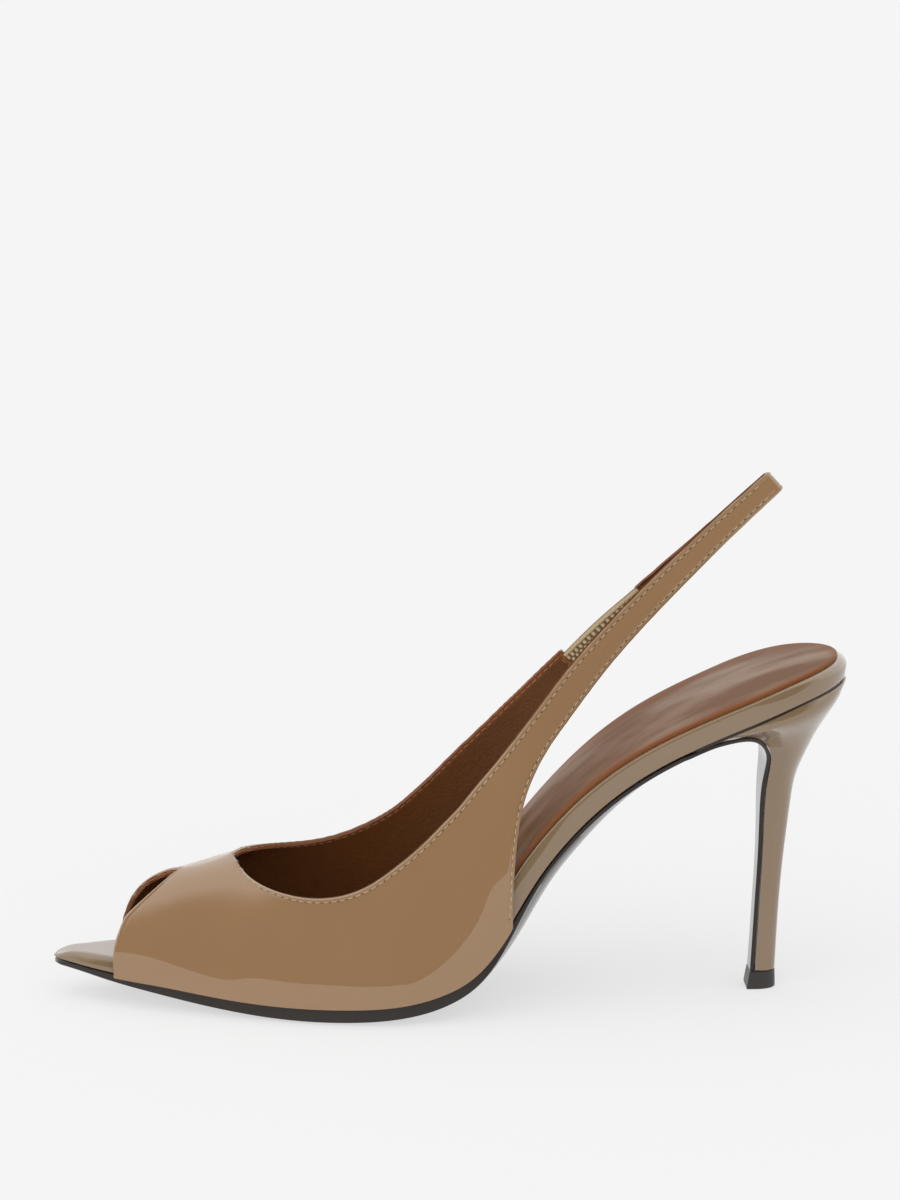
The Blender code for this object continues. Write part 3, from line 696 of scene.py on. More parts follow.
def makeHeel():
    # three grids under the board, then a section for each row down the heel, eased into one another
    along = np.sin(np.linspace(0, math.pi / 2, 49)) ** 1.15
    columns = 12
    across = np.linspace(0, 1, columns + 1)
    startX = flapGrid(np.array([heel["seatRow"]]), across, gap)[0, 0, 0]
    layers = []
    for inset, drop in ((0.5, 0.0), (0.15, 0.12), (0.0, 0.45)):
        seatX = startX + (board["length"] - heel["inset"] - inset - startX) * along
        outer, inner = boardEdges(np.clip(seatX + heel["inset"], 0, board["length"]))
        room = heel["inset"] + gap + inset
        shrink = np.clip(1 - room / np.maximum(np.abs(inner), room), 0, 1)
        plan = (outer * shrink)[:, None] * (1 - across[None, :]) + (inner * shrink)[:, None] * across[None, :]
        layers.append(onLast(seatX[:, None], plan, -gap - drop))
    row = readRows(heelRows, heelColumns, np.linspace(0, len(heelRows) - 1, 150))
    fronts = flapGrid(row["flapRow"], across, gap, gap / 2)
    for front, backX, backZ, half in zip(fronts, row["backX"], row["backZ"], row["half"]):
        layers.append(dSection(front, backX, backZ, half, along, columns, heel["shoulder"]))
    body = np.stack(layers)
    for _ in range(heel["smooth"]):
        body[4:-1] = (body[3:-2] + 2 * body[4:-1] + body[5:]) / 4
    # the top of the cover sinks a little towards the back, where the gap under the board opens
    body[:3, ..., 2] -= heel["open"] * np.clip((body[:3, ..., 0] - heel["openFrom"]) / heel["openFade"], 0, 1)
    # the thin front end of the cover stays inside the outsole's edge
    frontness = np.clip(1 - (body[..., 0] - startX) / heel["frontTaperLength"], 0, 1)
    body[..., 1] *= 1 - heel["frontTaper"] * frontness
    piece = stackPiece("heelCover", list(body), heelPatentMaterial, sharp=60)
    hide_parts("heel")
    # a dark plate inside the gap between cover and board: painted shade for the shadow in that gap
    seatX = np.linspace(startX, board["length"] - heel["shadePlateInset"] - 0.2, 60)
    outer, inner = boardEdges(seatX + heel["shadePlateInset"])
    # the plate's dark sole leather stands in for shade, not for a real layer
    dark = [plateLayer(seatX, outer, inner, 0.9, height, 10) for height in (-0.75, 0.1)]
    stackPiece("seatGapShade", dark, soleEdgeMaterial)


lift = {"height": 5.7, "front": 208.6, "back": 217.7, "half": 4.2, "round": 0.55, "slant": 0.8}


def makeLift():
    # the heel's section carried up a short profile with a rounded foot
    along = np.sin(np.linspace(0, math.pi / 2, 33))
    side = np.linspace(-1, 1, 9)
    profile = [(0.0, lift["round"])]
    for turn in np.radians([20, 45, 70, 90]):
        profile.append((lift["round"] * (1 - math.cos(turn)), lift["round"] * (1 - math.sin(turn))))
    profile += [(lift["height"] * 0.5, 0.05), (lift["height"] - 0.25, 0.15), (lift["height"], 0.4)]
    layers = []
    for height, inset in profile:
        half = lift["half"] - inset
        slant = lift["slant"] * height / lift["height"]
        front = np.stack([0 * side + lift["front"] + inset + slant, half * side, 0 * side + height], -1)
        layers.append(dSection(front, lift["back"] - inset, height, half, along, 8, heel["shoulder"]))
    piece = stackPiece("topLift", layers, liftMaterial, sharp=40)
    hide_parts("top_lift")


makeBoard()
makeSock()
makeOutsole()
makeHeel()
makeLift()
print("sole, board, sock and heel made")


# Upper: sections run from the lower edge to the upper one. At the front and along the ball the lower edge is
# the feather line round the board. "out" is measured sideways from the middle plane, flare and lean are the
# angles by which a section leaves its lower edge outward and meets its upper edge inward, and bow pushes its
# middle forward.

upper = {
    "patentThickness": 0.6,
    "liningThickness": 0.8,
    "seamGap": 0.1,
    "liningProud": 0.3,
    "liningShort": 0.45,
    "rollWidth": 0.9,
    "rollDepth": 0.55,
    "grooveAt": 1.3,
    "grooveWidth": 0.22,
    "grooveDepth": 0.13,
    "swell": 0.16,
    "featherOut": 1.9,
    "featherDrop": 0.8,
    "fullness": 0.37,
    "foldRadius": 2.8,
    "strapRise": (0.725, 0.0, 0.688),
    "easeRounds": 90,
    "easeLow": 3.0,
    "easeHighStart": 0.5,
    "easeHigh": 4.0,
    "rimDyed": 0.72,
    "rimFade": 1.2,
    "perRow": 9,
    "across": 30,
}
frontColumns = ("feather", "x", "out", "z", "lean", "bow")
outerPeepRows = (
    (18.1, 21.8, 8.5, 27.7, 22, 1.6),
    (23.0, 25.3, 7.2, 30.9, 42, 0.9),
    (29.0, 30.3, 4.7, 34.8, 61, 0.3),
    (35.0, 35.1, 1.0, 37.9, 80, 0.0),
    (39.5, 37.9, -1.2, 39.2, 90, 0.0),
)
innerPeepRows = (
    (19.4, 22.9, 12.6, 27.3, 22, 1.1),
    (24.2, 26.0, 11.2, 31.6, 42, 0.7),
    (29.5, 30.3, 8.3, 35.4, 60, 0.2),
    (35.0, 35.0, 4.4, 38.2, 77, 0.0),
    (39.5, 37.9, 1.2, 39.2, 90, 0.0),
)
ridgeRows = (
    (39.5, 37.9, 1.2, 39.2, 90, 0.0),
    (46.0, 46.0, 1.7, 41.2, 90, 0.0),
    (52.0, 54.2, 2.0, 43.7, 90, 0.0),
)
outerCollarRows = (
    (52.0, 54.2, -2.0, 43.7, 90, 0.0),
    (54.8, 55.6, 4.5, 42.5, 74, 0.0),
    (59.0, 58.4, 10.7, 40.4, 58, 0.0),
    (65.0, 63.2, 16.2, 38.5, 44, 0.0),
    (73.0, 69.7, 20.8, 37.2, 33, 0.0),
    (83.0, 77.6, 24.6, 36.9, 25, 0.0),
    (94.0, 86.1, 27.0, 38.3, 19, 0.0),
    (105.0, 94.1, 28.0, 41.7, 15, 0.0),
    (116.0, 101.1, 27.6, 46.4, 13, 0.0),
    (126.0, 106.6, 27.0, 50.7, 12, 0.0),
    (135.6, 111.6, 26.1, 55.1, 11, 0.0),
)
innerCollarRows = (
    (52.0, 54.2, 2.0, 43.7, 90, 0.0),
    (55.0, 56.6, 7.3, 43.7, 76, 0.0),
    (59.5, 60.6, 12.6, 43.2, 61, 0.0),
    (65.5, 66.2, 17.8, 42.3, 48, 0.0),
    (73.5, 72.8, 22.6, 41.3, 37, 0.0),
    (83.0, 80.4, 26.0, 41.2, 28, 0.0),
    (93.0, 88.5, 27.9, 42.8, 22, 0.0),
    (103.5, 96.4, 28.5, 46.0, 18, 0.0),
    (114.0, 103.2, 28.2, 50.1, 15, 0.0),
    (124.5, 109.0, 27.6, 55.1, 13, 0.0),
    (134.6, 114.5, 26.8, 60.5, 11, 0.0),
)
bandColumns = ("lowX", "lowOut", "lowZ", "x", "out", "z", "swell")
outerFlankRows = (
    (136.3, 28.3, 35.5, 116.1, 25.3, 59.6, 8),
    (136.8, 27.5, 45.5, 120.7, 24.6, 64.3, 7),
    (137.7, 26.4, 55.0, 125.2, 23.6, 69.6, 6),
    (139.6, 24.6, 64.5, 130.0, 22.5, 75.0, 5),
    (142.8, 22.0, 72.5, 135.0, 21.3, 80.8, 4),
    (147.3, 18.9, 79.9, 140.4, 19.3, 87.1, 3),
    (153.0, 15.8, 87.1, 146.4, 16.4, 94.3, 3),
    (159.8, 12.7, 95.5, 153.2, 13.3, 102.3, 3),
    (168.0, 9.6, 105.0, 161.8, 10.2, 111.4, 3),
    (178.5, 7.0, 116.1, 172.8, 7.4, 122.3, 2),
    (190.3, 5.0, 127.9, 184.8, 5.2, 133.6, 1),
    (203.0, 3.6, 140.3, 197.8, 3.8, 145.7, 0),
    (215.6, 3.0, 152.2, 210.9, 3.0, 157.4, 0),
)
strapReturnRows = (
    (215.8, 2.4, 151.5, 211.2, 2.4, 156.5, 0),
    (203.2, 2.2, 139.6, 198.0, 2.2, 144.9, 0),
    (191.2, 2.6, 128.4, 186.0, 2.7, 134.2, 1),
    (179.6, 3.9, 117.5, 174.1, 4.1, 123.3, 1),
)
innerFlankRows = (
    (135.9, 22.8, 35.8, 119.0, 26.1, 65.2, 9),
    (136.6, 23.0, 46.0, 123.5, 25.3, 69.9, 8),
    (137.7, 22.9, 56.0, 128.0, 24.3, 74.5, 7),
    (139.8, 22.2, 65.5, 132.7, 23.1, 79.4, 5),
    (143.2, 20.9, 73.6, 137.6, 21.5, 84.7, 4),
    (148.0, 19.1, 81.4, 142.8, 19.7, 90.3, 3),
    (154.0, 17.1, 89.3, 148.1, 17.6, 96.3, 3),
    (160.0, 14.9, 96.0, 153.4, 15.4, 102.1, 3),
)
# flare, and the tuck of the last few millimetres under the foot: how far in, and over what height
flareColumns = ("x", "flare", "tuck", "tuckHeight")
flareRows = (
    (18, 4.0, 0.0, 3.0),
    (32, 1.0, 0.0, 3.0),
    (50, -3.0, 0.15, 3.0),
    (70, -5.0, 0.35, 3.0),
    (88, -5.0, 0.4, 3.0),
    (104, -4.0, 0.4, 3.0),
    (118, -1.0, 0.3, 3.5),
    (136, 3.0, 0.0, 4.0),
)


def featherPoint(x, side):
    # on the feather line: out from the board's edge, square to it in plan, and a little below its underside
    edge = edgeSide(x, side)
    slope = edgeSide(x + 0.5, side) - edgeSide(x - 0.5, side)
    return onLast(x, edge + side * upper["featherOut"] * np.sqrt(1 + slope ** 2), -upper["featherDrop"])


def tuckUnder(curves, x, side):
    # the lower end of every section is drawn in under the foot, fading out up the section
    step = np.linalg.norm(np.diff(curves, axis=1), axis=-1)
    height = np.concatenate([np.zeros((len(curves), 1)), np.cumsum(step, axis=1)], axis=1)
    tuck = np.clip(columnCurve(flareRows, flareColumns, "tuck", x), 0, None)[:, None]
    scale = columnCurve(flareRows, flareColumns, "tuckHeight", x)[:, None]
    curves[..., 1] -= side * tuck * np.exp(-height / scale)
    return curves


def sectionCurves(low, high, flare, lean, bow, side):
    # a cubic from the lower edge to the upper one, leaving at the flare angle and arriving at the lean angle
    rise = high - low
    flat = np.hypot(rise[:, 0], rise[:, 2])
    up = np.stack([rise[:, 0] / flat, 0 * flat, rise[:, 2] / flat], 1)
    forward = np.stack([-up[:, 2], 0 * flat, up[:, 0]], 1)
    outward = np.array([0.0, side, 0.0])
    reach = np.linalg.norm(rise, axis=1) * upper["fullness"]
    flare, lean = np.radians(flare), np.radians(lean)
    leave = up * np.cos(flare)[:, None] + outward * np.sin(flare)[:, None]
    arrive = up * np.cos(lean)[:, None] - outward * np.sin(lean)[:, None]
    first = low + leave * reach[:, None]
    second = high - arrive * reach[:, None]
    t = stations(0, 1, upper["across"] + 1, 0.7)[None, :, None]
    curve = ((1 - t) ** 3 * low[:, None] + 3 * (1 - t) ** 2 * t * first[:, None]
             + 3 * (1 - t) * t ** 2 * second[:, None] + t ** 3 * high[:, None])
    return curve + forward[:, None] * (4 * t * (1 - t) * np.asarray(bow)[:, None, None])


def finePlaces(count):
    # fractional row numbers, several to each row of a table
    return np.linspace(0, count - 1, (count - 1) * upper["perRow"] + 1)


def frontSections(table, side):
    # sections from the feather line up to the peep toe or the ridge
    row = readRows(table, frontColumns, finePlaces(len(table)))
    high = np.stack([row["x"], side * row["out"], row["z"]], 1)
    flare = columnCurve(flareRows, flareColumns, "flare", row["feather"])
    curves = sectionCurves(featherPoint(row["feather"], side), high, flare, row["lean"], row["bow"], side)
    return tuckUnder(curves, row["feather"], side)


def bandAngles(row):
    # a band bulges by its swell on both sides of its chord
    low = np.stack([row["lowX"], row["lowOut"], row["lowZ"]], 1)
    high = np.stack([row["x"], row["out"], row["z"]], 1)
    chord = np.degrees(np.arctan2(low[:, 1] - high[:, 1], np.linalg.norm(high - low, axis=1)))
    return row["swell"] - chord, row["swell"] + chord


def bandSections(table, side):
    # sections of a band between the two edges that its table gives
    row = readRows(table, bandColumns, finePlaces(len(table)))
    low = np.stack([row["lowX"], side * row["lowOut"], row["lowZ"]], 1)
    high = np.stack([row["x"], side * row["out"], row["z"]], 1)
    flare, lean = bandAngles(row)
    return sectionCurves(low, high, flare, lean, 0 * flare, side)


def sideSections(collarRows, flankRows, side):
    # collar and flank in one run: the upper edge and the angles are single curves through both tables, and
    # the lower edge follows the feather line up to the corner and the flank's own table after it
    collar = dict(zip(frontColumns, np.asarray(collarRows, float).T))
    flank = dict(zip(bandColumns, np.asarray(flankRows, float).T))
    flankFlare, flankLean = bandAngles(flank)
    collarFlare = columnCurve(flareRows, flareColumns, "flare", collar["feather"])
    shape = np.stack([
        np.concatenate([collar["x"], flank["x"]]),
        np.concatenate([side * collar["out"], side * flank["out"]]),
        np.concatenate([collar["z"], flank["z"]]),
        np.concatenate([collarFlare, flankFlare]),
        np.concatenate([collar["lean"], flankLean]),
        np.concatenate([collar["bow"], 0 * flankFlare]),
    ], 1)
    places = finePlaces(len(shape))
    read = smoothCurve(np.arange(len(shape)), shape, places)
    corner = len(collarRows) - 1
    feather = smoothCurve(np.arange(len(collarRows)), collar["feather"], places)
    low = featherPoint(feather, side)
    cornerPoint = featherPoint(np.array([collar["feather"][-1]]), side)
    flankLow = np.stack([flank["lowX"], side * flank["lowOut"], flank["lowZ"]], 1)
    lowTable = np.concatenate([cornerPoint, flankLow])
    climb = smoothCurve(np.arange(len(lowTable)), lowTable, np.clip(places - corner, 0, None))
    low = np.where((places > corner)[:, None], climb, low)
    curves = sectionCurves(low, read[:, :3], read[:, 3], read[:, 4], read[:, 5], side)
    return tuckUnder(curves, feather + 0.5 * np.clip(places - corner, 0, None), side)


def foldSections(last, first):
    # the strap's turn round the back: half circles between its two strands
    turn = np.linspace(0, math.pi, 27)[1:-1, None, None]
    middle = (last + first)[None] / 2
    half = (first - last)[None] / 2
    return middle - half * np.cos(turn) + np.array(upper["strapRise"]) * np.sin(turn) * upper["foldRadius"]


def upperHalves():
    # all sections of the near half, with the strap and its turn, and of the far half, from the peep toe back
    outerRidge = [(feather, x, -side, *rest) for feather, x, side, *rest in ridgeRows]
    near = [
        frontSections(outerPeepRows, -1),
        frontSections(outerRidge, -1)[1:],
        sideSections(outerCollarRows, outerFlankRows, -1)[1:],
    ]
    back = bandSections(strapReturnRows, 1)
    near += [foldSections(near[-1][-1], back[0]), back]
    far = [
        frontSections(innerPeepRows, 1),
        frontSections(ridgeRows, 1)[1:],
        sideSections(innerCollarRows, innerFlankRows, 1)[1:],
    ]
    return np.concatenate(near), np.concatenate(far)


def summedNormals(grid, side):
    # every corner collects the normals of the faces that meet there, turned outward
    cross = np.cross(grid[1:, 1:] - grid[:-1, :-1], grid[:-1, 1:] - grid[1:, :-1]) * side
    total = np.zeros_like(grid)
    for rows in (slice(None, -1), slice(1, None)):
        for columns in (slice(None, -1), slice(1, None)):
            total[rows, columns] += cross
    return total


def evenSections(grid):
    # every section read again by its own length, with close stations at both ends for the rolled edges
    ends = np.array([0, 0.14, 0.32, 0.55, 0.8, 1.05, 1.3, 1.55, 1.85, 2.3])
    fraction = np.linspace(0, 1, 29)[1:-1]
    result = []
    for line in grid:
        run = np.concatenate([[0], np.cumsum(np.linalg.norm(np.diff(line, axis=0), axis=1))])
        end = ends * min(1, run[-1] / 6)
        at = np.concatenate([end, end[-1] + (run[-1] - 2 * end[-1]) * fraction, run[-1] - end[::-1]])
        result.append(np.stack([np.interp(at, run, line[:, axis]) for axis in range(3)], 1))
    return np.stack(result)


def easeAcross(grid, middle, reach):
    # the interior of a run of sections is relaxed towards its neighbours; both edges stay where they are
    step = np.linalg.norm(np.diff(grid, axis=1), axis=-1)
    fromLow = np.concatenate([np.zeros((len(grid), 1)), np.cumsum(step, axis=1)], axis=1)
    fromHigh = fromLow[:, -1:] - fromLow
    weight = np.clip(fromLow / upper["easeLow"], 0, 1)
    weight = weight * np.clip((fromHigh - upper["easeHighStart"]) / upper["easeHigh"], 0, 1)
    rows = np.arange(len(grid))
    weight = weight * np.clip((reach - np.abs(rows - middle)) / reach * 2, 0, 1)[:, None]
    for _ in range(upper["easeRounds"]):
        relaxed = (grid[:-2] + 2 * grid[1:-1] + grid[2:]) / 4
        grid[1:-1] += (relaxed - grid[1:-1]) * weight[1:-1, :, None]
    return grid


def edgeDistance(grid, edges):
    # how far every point is from the nearest open edge
    return np.stack([
        np.linalg.norm(line[:, None] - edges[None], axis=-1).min(axis=1) for line in grid
    ])


def densely(path):
    # the same path with a point every quarter of a millimetre
    run = np.concatenate([[0], np.cumsum(np.linalg.norm(np.diff(path, axis=0), axis=1))])
    at = np.linspace(0, run[-1], int(run[-1] / 0.25) + 2)
    return np.stack([np.interp(at, run, path[:, axis]) for axis in range(3)], 1)


def joinHalves(near, far):
    # the two halves as one mesh; addPiece merges them along the ridge
    points = np.concatenate([near.reshape(-1, 3), far.reshape(-1, 3)])
    faces = np.concatenate([
        gridFaces(near.shape[:2], 0),
        gridFaces(far.shape[:2], near.shape[0] * near.shape[1], flip=True),
    ])
    return points, faces


def addWall(piece, thickness, rimRound):
    # thickness inward, then rounded rims
    wall = piece.modifiers.new("wall", "SOLIDIFY")
    wall.thickness = thickness * place["metre"]
    wall.offset = -1
    wall.use_quality_normals = True
    rim = piece.modifiers.new("rolled edge", "BEVEL")
    rim.width = rimRound * place["metre"]
    rim.segments = 3
    rim.limit_method = "ANGLE"
    rim.angle_limit = math.radians(50)
    rim.harden_normals = True
    rim.loop_slide = False
    return wall


near, far = (evenSections(half) for half in upperHalves())
ridgeFirst = (len(outerPeepRows) - 1) * upper["perRow"]
ridgeLast = ridgeFirst + (len(ridgeRows) - 1) * upper["perRow"]
corner = ridgeLast + (len(outerCollarRows) - 1) * upper["perRow"]
foldStart = ridgeLast + (len(outerCollarRows) + len(outerFlankRows) - 1) * upper["perRow"]
foldStop = foldStart + 25
for middleRow, reach in ((ridgeFirst, 16), (ridgeLast, 26), (corner, 26)):
    near = easeAcross(near, middleRow, reach)
    far = easeAcross(far, middleRow, reach)
openEdges = np.concatenate([densely(path) for path in (
    near[:ridgeFirst + 1, -1], near[ridgeLast:, -1], near[0], near[corner:, 0], near[-1],
    far[:ridgeFirst + 1, -1], far[ridgeLast:, -1], far[0], far[corner:, 0], far[-1],
)])
nearNormal = summedNormals(near, 1)
farNormal = summedNormals(far, -1)
ridge = slice(ridgeFirst, ridgeLast + 1)
meeting = unit(nearNormal[ridge, -1] + farNormal[ridge, -1])
nearNormal[ridge, -1] = meeting
farNormal[ridge, -1] = meeting
nearNormal, farNormal = unit(nearNormal), unit(farNormal)
nearEdge, farEdge = edgeDistance(near, openEdges), edgeDistance(far, openEdges)


def rollDepth(distance):
    # rounded off at the edge, a little swollen behind it, with a groove where the stitches lie
    rolled = upper["rollDepth"] * (1 - np.clip(distance / upper["rollWidth"], 0, 1)) ** 2
    swollen = upper["swell"] * np.sin(math.pi * np.clip(distance / upper["grooveAt"], 0, 1))
    groove = upper["grooveDepth"] * np.exp(-((distance - upper["grooveAt"]) / upper["grooveWidth"]) ** 2)
    return (rolled - swollen + groove)[..., None]


points, faces = joinHalves(near - nearNormal * rollDepth(nearEdge), far - farNormal * rollDepth(farEdge))
patentUpper = addPiece("patentUpper", points, faces, patentMaterial, closed=False, sharp=80)
addWall(patentUpper, upper["patentThickness"], 0.2)
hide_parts("upper")


def liningFace(grid, normals, distance):
    # under the patent, standing a little proud of its open top edge
    depth = upper["patentThickness"] + upper["seamGap"]
    depth = depth + upper["rollDepth"] * (1 - np.clip(distance / upper["rollWidth"], 0, 1)) ** 2
    face = grid - normals * depth[..., None]
    ahead = unit(face[:, -1] - face[:, -2]) * upper["liningProud"]
    rows = np.arange(len(grid))
    away = np.where(rows < ridgeFirst, ridgeFirst - rows, rows - ridgeLast)
    face[:, -1] += ahead * np.clip((away - 4) / 10, 0, 1)[:, None]
    face[-1] -= unit(face[-1] - face[-2]) * upper["liningShort"]
    return face


points, faces = joinHalves(liningFace(near, nearNormal, nearEdge), liningFace(far, farNormal, farEdge))
# only the far side, which shows its face, has the dyed rim
farRim = np.clip(1 - (farEdge.ravel() - upper["rimDyed"]) / upper["rimFade"], 0, 1)
dyedRim = np.concatenate([np.zeros(nearEdge.size), farRim])
lining = addPiece("lining", points, faces, liningMaterial, closed=False, sharp=80, relief=dyedRim)
lining.data.materials.append(cutEdgeMaterial)
addWall(lining, upper["liningThickness"], 0.12).material_offset_rim = 1
print("upper made")


# Stitches: short threads that dip into the leather at both ends, with a needle hole between neighbours, drawn
# as a dark dish of painted shade

# the runs leave out a few sections at the throat, the corner, the open ends and the turn of the strap
stitch = {
    "pitch": 2.5,
    "length": 1.9,
    "radius": 0.19,
    "lift": 0.04,
    "inset": 1.3,
    "hole": 0.19,
    "throatSkip": 7,
    "cornerSkip": 3,
    "endSkip": 2,
    "strapSkip": 6,
}


def edgeLine(grid, normals, fromTop, distance):
    # the point of every section that lies a given distance from its edge, measured along the section
    line = grid[:, ::-1] if fromTop else grid
    square = normals[:, ::-1] if fromTop else normals
    run = np.cumsum(np.linalg.norm(np.diff(line, axis=1), axis=-1), axis=1)
    run = np.concatenate([np.zeros((len(run), 1)), run], axis=1)
    index = np.clip((run < distance).sum(axis=1), 1, run.shape[1] - 1)
    rows = np.arange(len(run))
    share = ((distance - run[rows, index - 1]) / (run[rows, index] - run[rows, index - 1]))[:, None]
    point = line[rows, index - 1] * (1 - share) + line[rows, index] * share
    normal = square[rows, index - 1] * (1 - share) + square[rows, index] * share
    return np.concatenate([point, normal], axis=1)


def evenRun(path, pitch):
    # stitch middles every pitch along the path, with the direction of the path and the surface normal there
    run = np.concatenate([[0], np.cumsum(np.linalg.norm(np.diff(path[:, :3], axis=0), axis=1))])
    keep = np.concatenate([[True], np.diff(run) > 1e-6])
    run, path = run[keep], path[keep]
    count = max(2, int(run[-1] / pitch))
    at = (np.arange(count) + 0.5) * run[-1] / count
    read = np.stack([np.interp(at, run, path[:, axis]) for axis in range(6)], 1)
    ahead = np.stack([np.interp(at + 0.6, run, path[:, axis]) - np.interp(at - 0.6, run, path[:, axis])
                      for axis in range(3)], 1)
    ahead = unit(ahead)
    across = unit(np.cross(unit(read[:, 3:]), ahead))
    return read[:, :3], ahead, across, np.cross(ahead, across)


def stitchMesh(middle, ahead, across, up, radius):
    # a tube that thins to nothing at both ends, by a cube, while its middle line arches over the surface
    station = np.linspace(-1, 1, 7)
    angle = np.linspace(0, 2 * math.pi, 9)[:-1]
    thick = radius * np.clip(1 - np.abs(station) ** 3, 0.02, 1)
    rise = stitch["lift"] * (1 - 2.2 * station ** 4)
    centre = (middle[:, None] + ahead[:, None] * (station * stitch["length"] / 2)[None, :, None]
              + up[:, None] * rise[None, :, None])
    ring = (across[:, None, None] * np.cos(angle)[None, None, :, None]
            + up[:, None, None] * np.sin(angle)[None, None, :, None])
    points = centre[:, :, None] + ring * thick[None, :, None, None]
    count, rings, sides = points.shape[:3]
    index = np.arange(count * rings * sides).reshape(count, rings, sides)
    around = np.roll(index, -1, axis=2)
    faces = np.stack([index[:, :-1], around[:, :-1], around[:, 1:], index[:, 1:]], -1).reshape(-1, 4)
    caps = np.concatenate([index[:, 0, ::-1], index[:, -1]])
    return points.reshape(-1, 3), (faces, caps)


def holeShadeMesh(middle, ahead, across, up, radius):
    # a shallow dark dish at each needle hole, painted shade for the hole: a ring of points on the surface and
    # one just above the middle
    angle = np.linspace(0, 2 * math.pi, 9)[:-1]
    ring = ahead[:, None] * np.cos(angle)[None, :, None] * 1.25
    ring = ring + across[:, None] * np.sin(angle)[None, :, None]
    top = middle[:, None] + ring * radius * 0.7 + up[:, None] * 0.045
    base = middle[:, None] + ring * radius - up[:, None] * 0.05
    points = np.concatenate([base, top], axis=1)
    count = len(points)
    index = np.arange(count * 16).reshape(count, 16)
    low, high = index[:, :8], index[:, 8:]
    sides = np.stack([low, np.roll(low, -1, axis=1), np.roll(high, -1, axis=1), high], -1).reshape(-1, 4)
    return points.reshape(-1, 3), (sides, high, low[:, ::-1])


def addRuns(name, paths, thread):
    # one piece for all threads and one for all needle holes, dark dishes of painted shade, which lie half a
    # pitch from the threads
    threads, holes = [], []
    for path in paths:
        run = evenRun(path, stitch["pitch"])
        threads.append(stitchMesh(*run, stitch["radius"]))
        middle, ahead, across, up = run
        shifted = (middle - ahead * stitch["pitch"] / 2, ahead, across, up)
        holes.append(holeShadeMesh(*shifted, stitch["hole"]))
    for label, meshes, material in ((name, threads, thread), (name + "HoleShade", holes, holeShadeMaterial)):
        offset, points, faces = 0, [], []
        for some, shape in meshes:
            points.append(some)
            for kind in shape:
                faces += (kind + offset).tolist()
            offset += len(some)
        addPiece(label, np.concatenate(points), faces, material, sharp=80)


inset = stitch["inset"]
nearTop = edgeLine(near, nearNormal, True, inset)
farTop = edgeLine(far, farNormal, True, inset)
nearLow = edgeLine(near, nearNormal, False, inset)
farLow = edgeLine(far, farNormal, False, inset)
earEnd = np.concatenate([far[-3, 8:-8], farNormal[-3, 8:-8]], axis=1)
throat, turn = ridgeLast + stitch["throatSkip"], corner + stitch["cornerSkip"]
runs = [
    nearTop[throat:foldStart],
    farTop[throat:-stitch["endSkip"]],
    nearLow[turn:foldStart],
    farLow[turn:-stitch["endSkip"]],
    earEnd,
    nearTop[foldStop:-stitch["strapSkip"]],
    nearLow[foldStop:-stitch["strapSkip"]],
]
addRuns("outerStitches", runs, threadMaterial)
innerDepth = upper["patentThickness"] + upper["seamGap"] + upper["liningThickness"]


def liningSide(path):
    # the same run on the inner face of the lining
    return np.concatenate([path[:, :3] - path[:, 3:] * innerDepth, -path[:, 3:]], axis=1)


addRuns("liningStitches", [liningSide(run) for run in runs], innerThreadMaterial)
print("stitches made")


# Elastic: a woven band between the far ear and the end of the strap

elastic = {"thickness": 0.7, "sunk": 0.45, "rows": 4, "weave": 0.25, "pitch": 2.1}
elasticRows = (
    (157.0, 16.0, 95.9, 153.1, 15.7, 99.8, 0),
    (158.9, 14.9, 97.9, 155.0, 15.1, 101.8, 0),
    (163.8, 10.9, 103.8, 159.5, 11.1, 107.7, 0),
    (170.4, 6.9, 111.0, 166.1, 7.0, 115.2, 0),
    (177.8, 4.1, 118.4, 173.6, 4.2, 122.5, 0),
    (180.6, 3.8, 121.1, 176.4, 3.9, 125.2, 0),
)


def makeElastic():
    # a ruled band between two edges, with loops raised on both faces
    row = readRows(elasticRows, bandColumns, np.linspace(0, len(elasticRows) - 1, 260))
    low = np.stack([row["lowX"], row["lowOut"], row["lowZ"]], 1)
    high = np.stack([row["x"], row["out"], row["z"]], 1)
    t = np.linspace(0, 1, 51)[None, :, None]
    face = low[:, None] * (1 - t) + high[:, None] * t
    square = unit(summedNormals(face, 1))
    square = square * np.sign(square[..., 1:2])
    along = np.cumsum(np.concatenate([[0], np.linalg.norm(np.diff(low, axis=0), axis=1)]))
    # rows of loops: each row swells in a wave along the band, half a wave out of step with its neighbours
    strand = t[..., 0] * elastic["rows"]
    ridgeShape = np.abs(np.sin(math.pi * strand)) ** 0.5
    step = math.pi * (np.clip(strand.astype(int), 0, elastic["rows"] - 1) % 2)
    wave = 0.5 + 0.5 * np.clip(1.8 * np.cos(2 * math.pi * along[:, None] / elastic["pitch"] + step), -1, 1)
    border = (strand > elastic["rows"] - 1) | (strand < 1)
    loops = ridgeShape * np.where(border, 1.0, wave)
    height = (elastic["weave"] * loops)[..., None]
    outside = face - square * (elastic["sunk"] - height)
    inside = face - square * (elastic["sunk"] + elastic["thickness"] + height)
    layers = [inside, outside]
    piece = stackPiece("elasticGore", layers, elasticMaterial, sharp=80, relief=[loops, loops])
    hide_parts("elastic_gore")


makeElastic()
print("elastic made")


# Floor, light and camera

studio = {
    "floor": 0.31,
    "floorGlow": 0.597,
    "floorSize": 40.0,
    "floorFront": 0.42,
    "white": 0.913,
    "even": 0.6,
    "front": 1.0,
    "reflected": 1.3,
    "frontDark": 0.04,
}


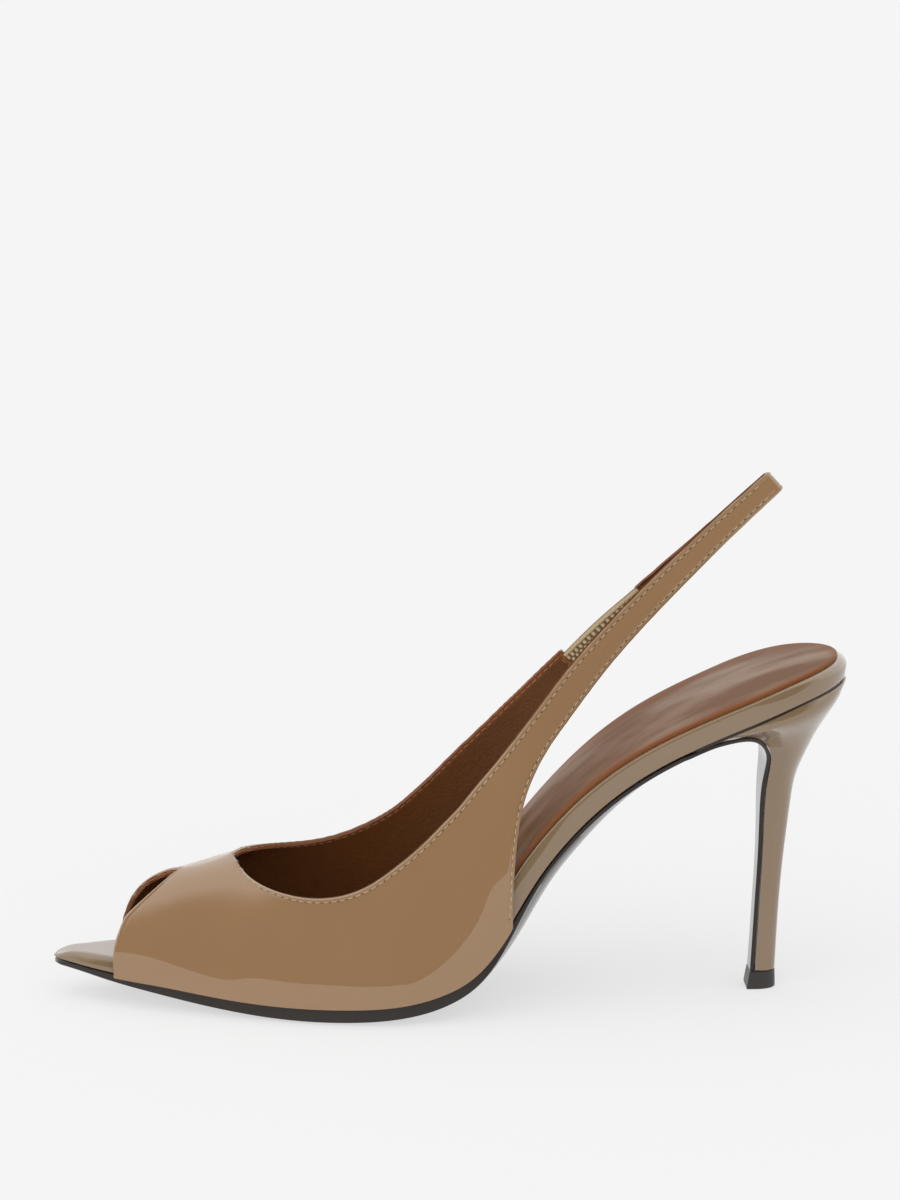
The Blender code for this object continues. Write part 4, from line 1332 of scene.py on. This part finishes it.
def makeFloor():
    # a pale matt floor that glows a little; its front edge sets how high its reflection reaches in the patent
    half = studio["floorSize"] / 2
    front = -studio["floorFront"]
    corners = [(-half, front, 0), (half, front, 0), (half, half, 0), (-half, half, 0)]
    mesh = bpy.data.meshes.new("floor")
    mesh.from_pydata(corners, [], [(0, 1, 2, 3)])
    material, shader, _ = newMaterial("paleFloor", Roughness=0.9)
    shader.inputs["Base Color"].default_value = (studio["floor"],) * 3 + (1,)
    shader.inputs["Specular IOR Level"].default_value = 0.0
    shader.inputs["Emission Color"].default_value = (1, 1, 1, 1)
    shader.inputs["Emission Strength"].default_value = studio["floorGlow"]
    mesh.materials.append(material)
    floor = bpy.data.objects.new("floor", mesh)
    bpy.context.scene.collection.objects.link(floor)


def directionShade(nodes, links, direction, axis, low, high, start, end):
    # a strength that runs smoothly from "start" to "end" as the direction turns towards an axis
    towards = nodes.new("ShaderNodeVectorMath")
    towards.operation = "DOT_PRODUCT"
    towards.inputs[1].default_value = Vector(axis).normalized()
    links.new(direction, towards.inputs[0])
    shade = nodes.new("ShaderNodeMapRange")
    shade.interpolation_type = "SMOOTHSTEP"
    shade.inputs["From Min"].default_value = low
    shade.inputs["From Max"].default_value = high
    shade.inputs["To Min"].default_value = start
    shade.inputs["To Max"].default_value = end
    links.new(towards.outputs["Value"], shade.inputs["Value"])
    return shade.outputs["Result"]


def mixFloat(nodes, links, factor, first, second):
    # a strength that runs from the first to the second with the factor
    node = nodes.new("ShaderNodeMix")
    node.data_type = "FLOAT"
    for socket, value in ((node.inputs[0], factor), (node.inputs[2], first), (node.inputs[3], second)):
        if isinstance(value, float):
            socket.default_value = value
        else:
            links.new(value, socket)
    return node.outputs[0]


def makeWorld():
    # soft light, stronger from the front, a plain pale ground behind, and in reflections a studio that is
    # white behind and above the shoe and dark in front of it
    world = bpy.data.worlds.new("studio")
    bpy.context.scene.world = world
    world.use_nodes = True
    world.cycles.sampling_method = "NONE"
    nodes, links = world.node_tree.nodes, world.node_tree.links
    background = nodes["Background"]
    background.inputs["Color"].default_value = (1, 1, 1, 1)
    direction = nodes.new("ShaderNodeTexCoord").outputs["Generated"]
    soft = directionShade(nodes, links, direction, (-0.3, -0.85, 0.45), -0.1, 1.0,
                          studio["even"], studio["even"] + studio["front"])
    mirrored = directionShade(nodes, links, direction, (0, -0.99, 0.14), 0.1, 0.6,
                              studio["reflected"], studio["frontDark"])
    path = nodes.new("ShaderNodeLightPath")
    shared = mixFloat(nodes, links, path.outputs["Is Glossy Ray"], soft, mirrored)
    seen = mixFloat(nodes, links, path.outputs["Is Camera Ray"], shared, studio["white"])
    links.new(seen, background.inputs["Strength"])


view = {"yaw": 3.0, "elevation": 12.65, "distance": 1.25, "lens": 126.75, "aimX": 119.1, "aimZ": 120.85}


def makeCamera():
    # the photo's view: almost square to the outer side and looking down a little
    yaw, tilt = math.radians(view["yaw"]), math.radians(view["elevation"])
    ahead = Vector((math.sin(yaw) * math.cos(tilt), math.cos(yaw) * math.cos(tilt), -math.sin(tilt)))
    aim = Vector((view["aimX"] + place["x"], place["y"], view["aimZ"])) * place["metre"]
    camera = bpy.data.objects.new("camera", bpy.data.cameras.new("camera"))
    camera.data.lens = view["lens"]
    camera.data.clip_start = 0.05
    camera.location = aim - ahead * view["distance"]
    camera.rotation_mode = "QUATERNION"
    camera.rotation_quaternion = ahead.to_track_quat("-Z", "Y")
    bpy.context.scene.collection.objects.link(camera)
    bpy.context.scene.camera = camera


makeFloor()
makeWorld()
makeCamera()
bpy.context.scene.view_settings.view_transform = "Standard"
print("stage made")
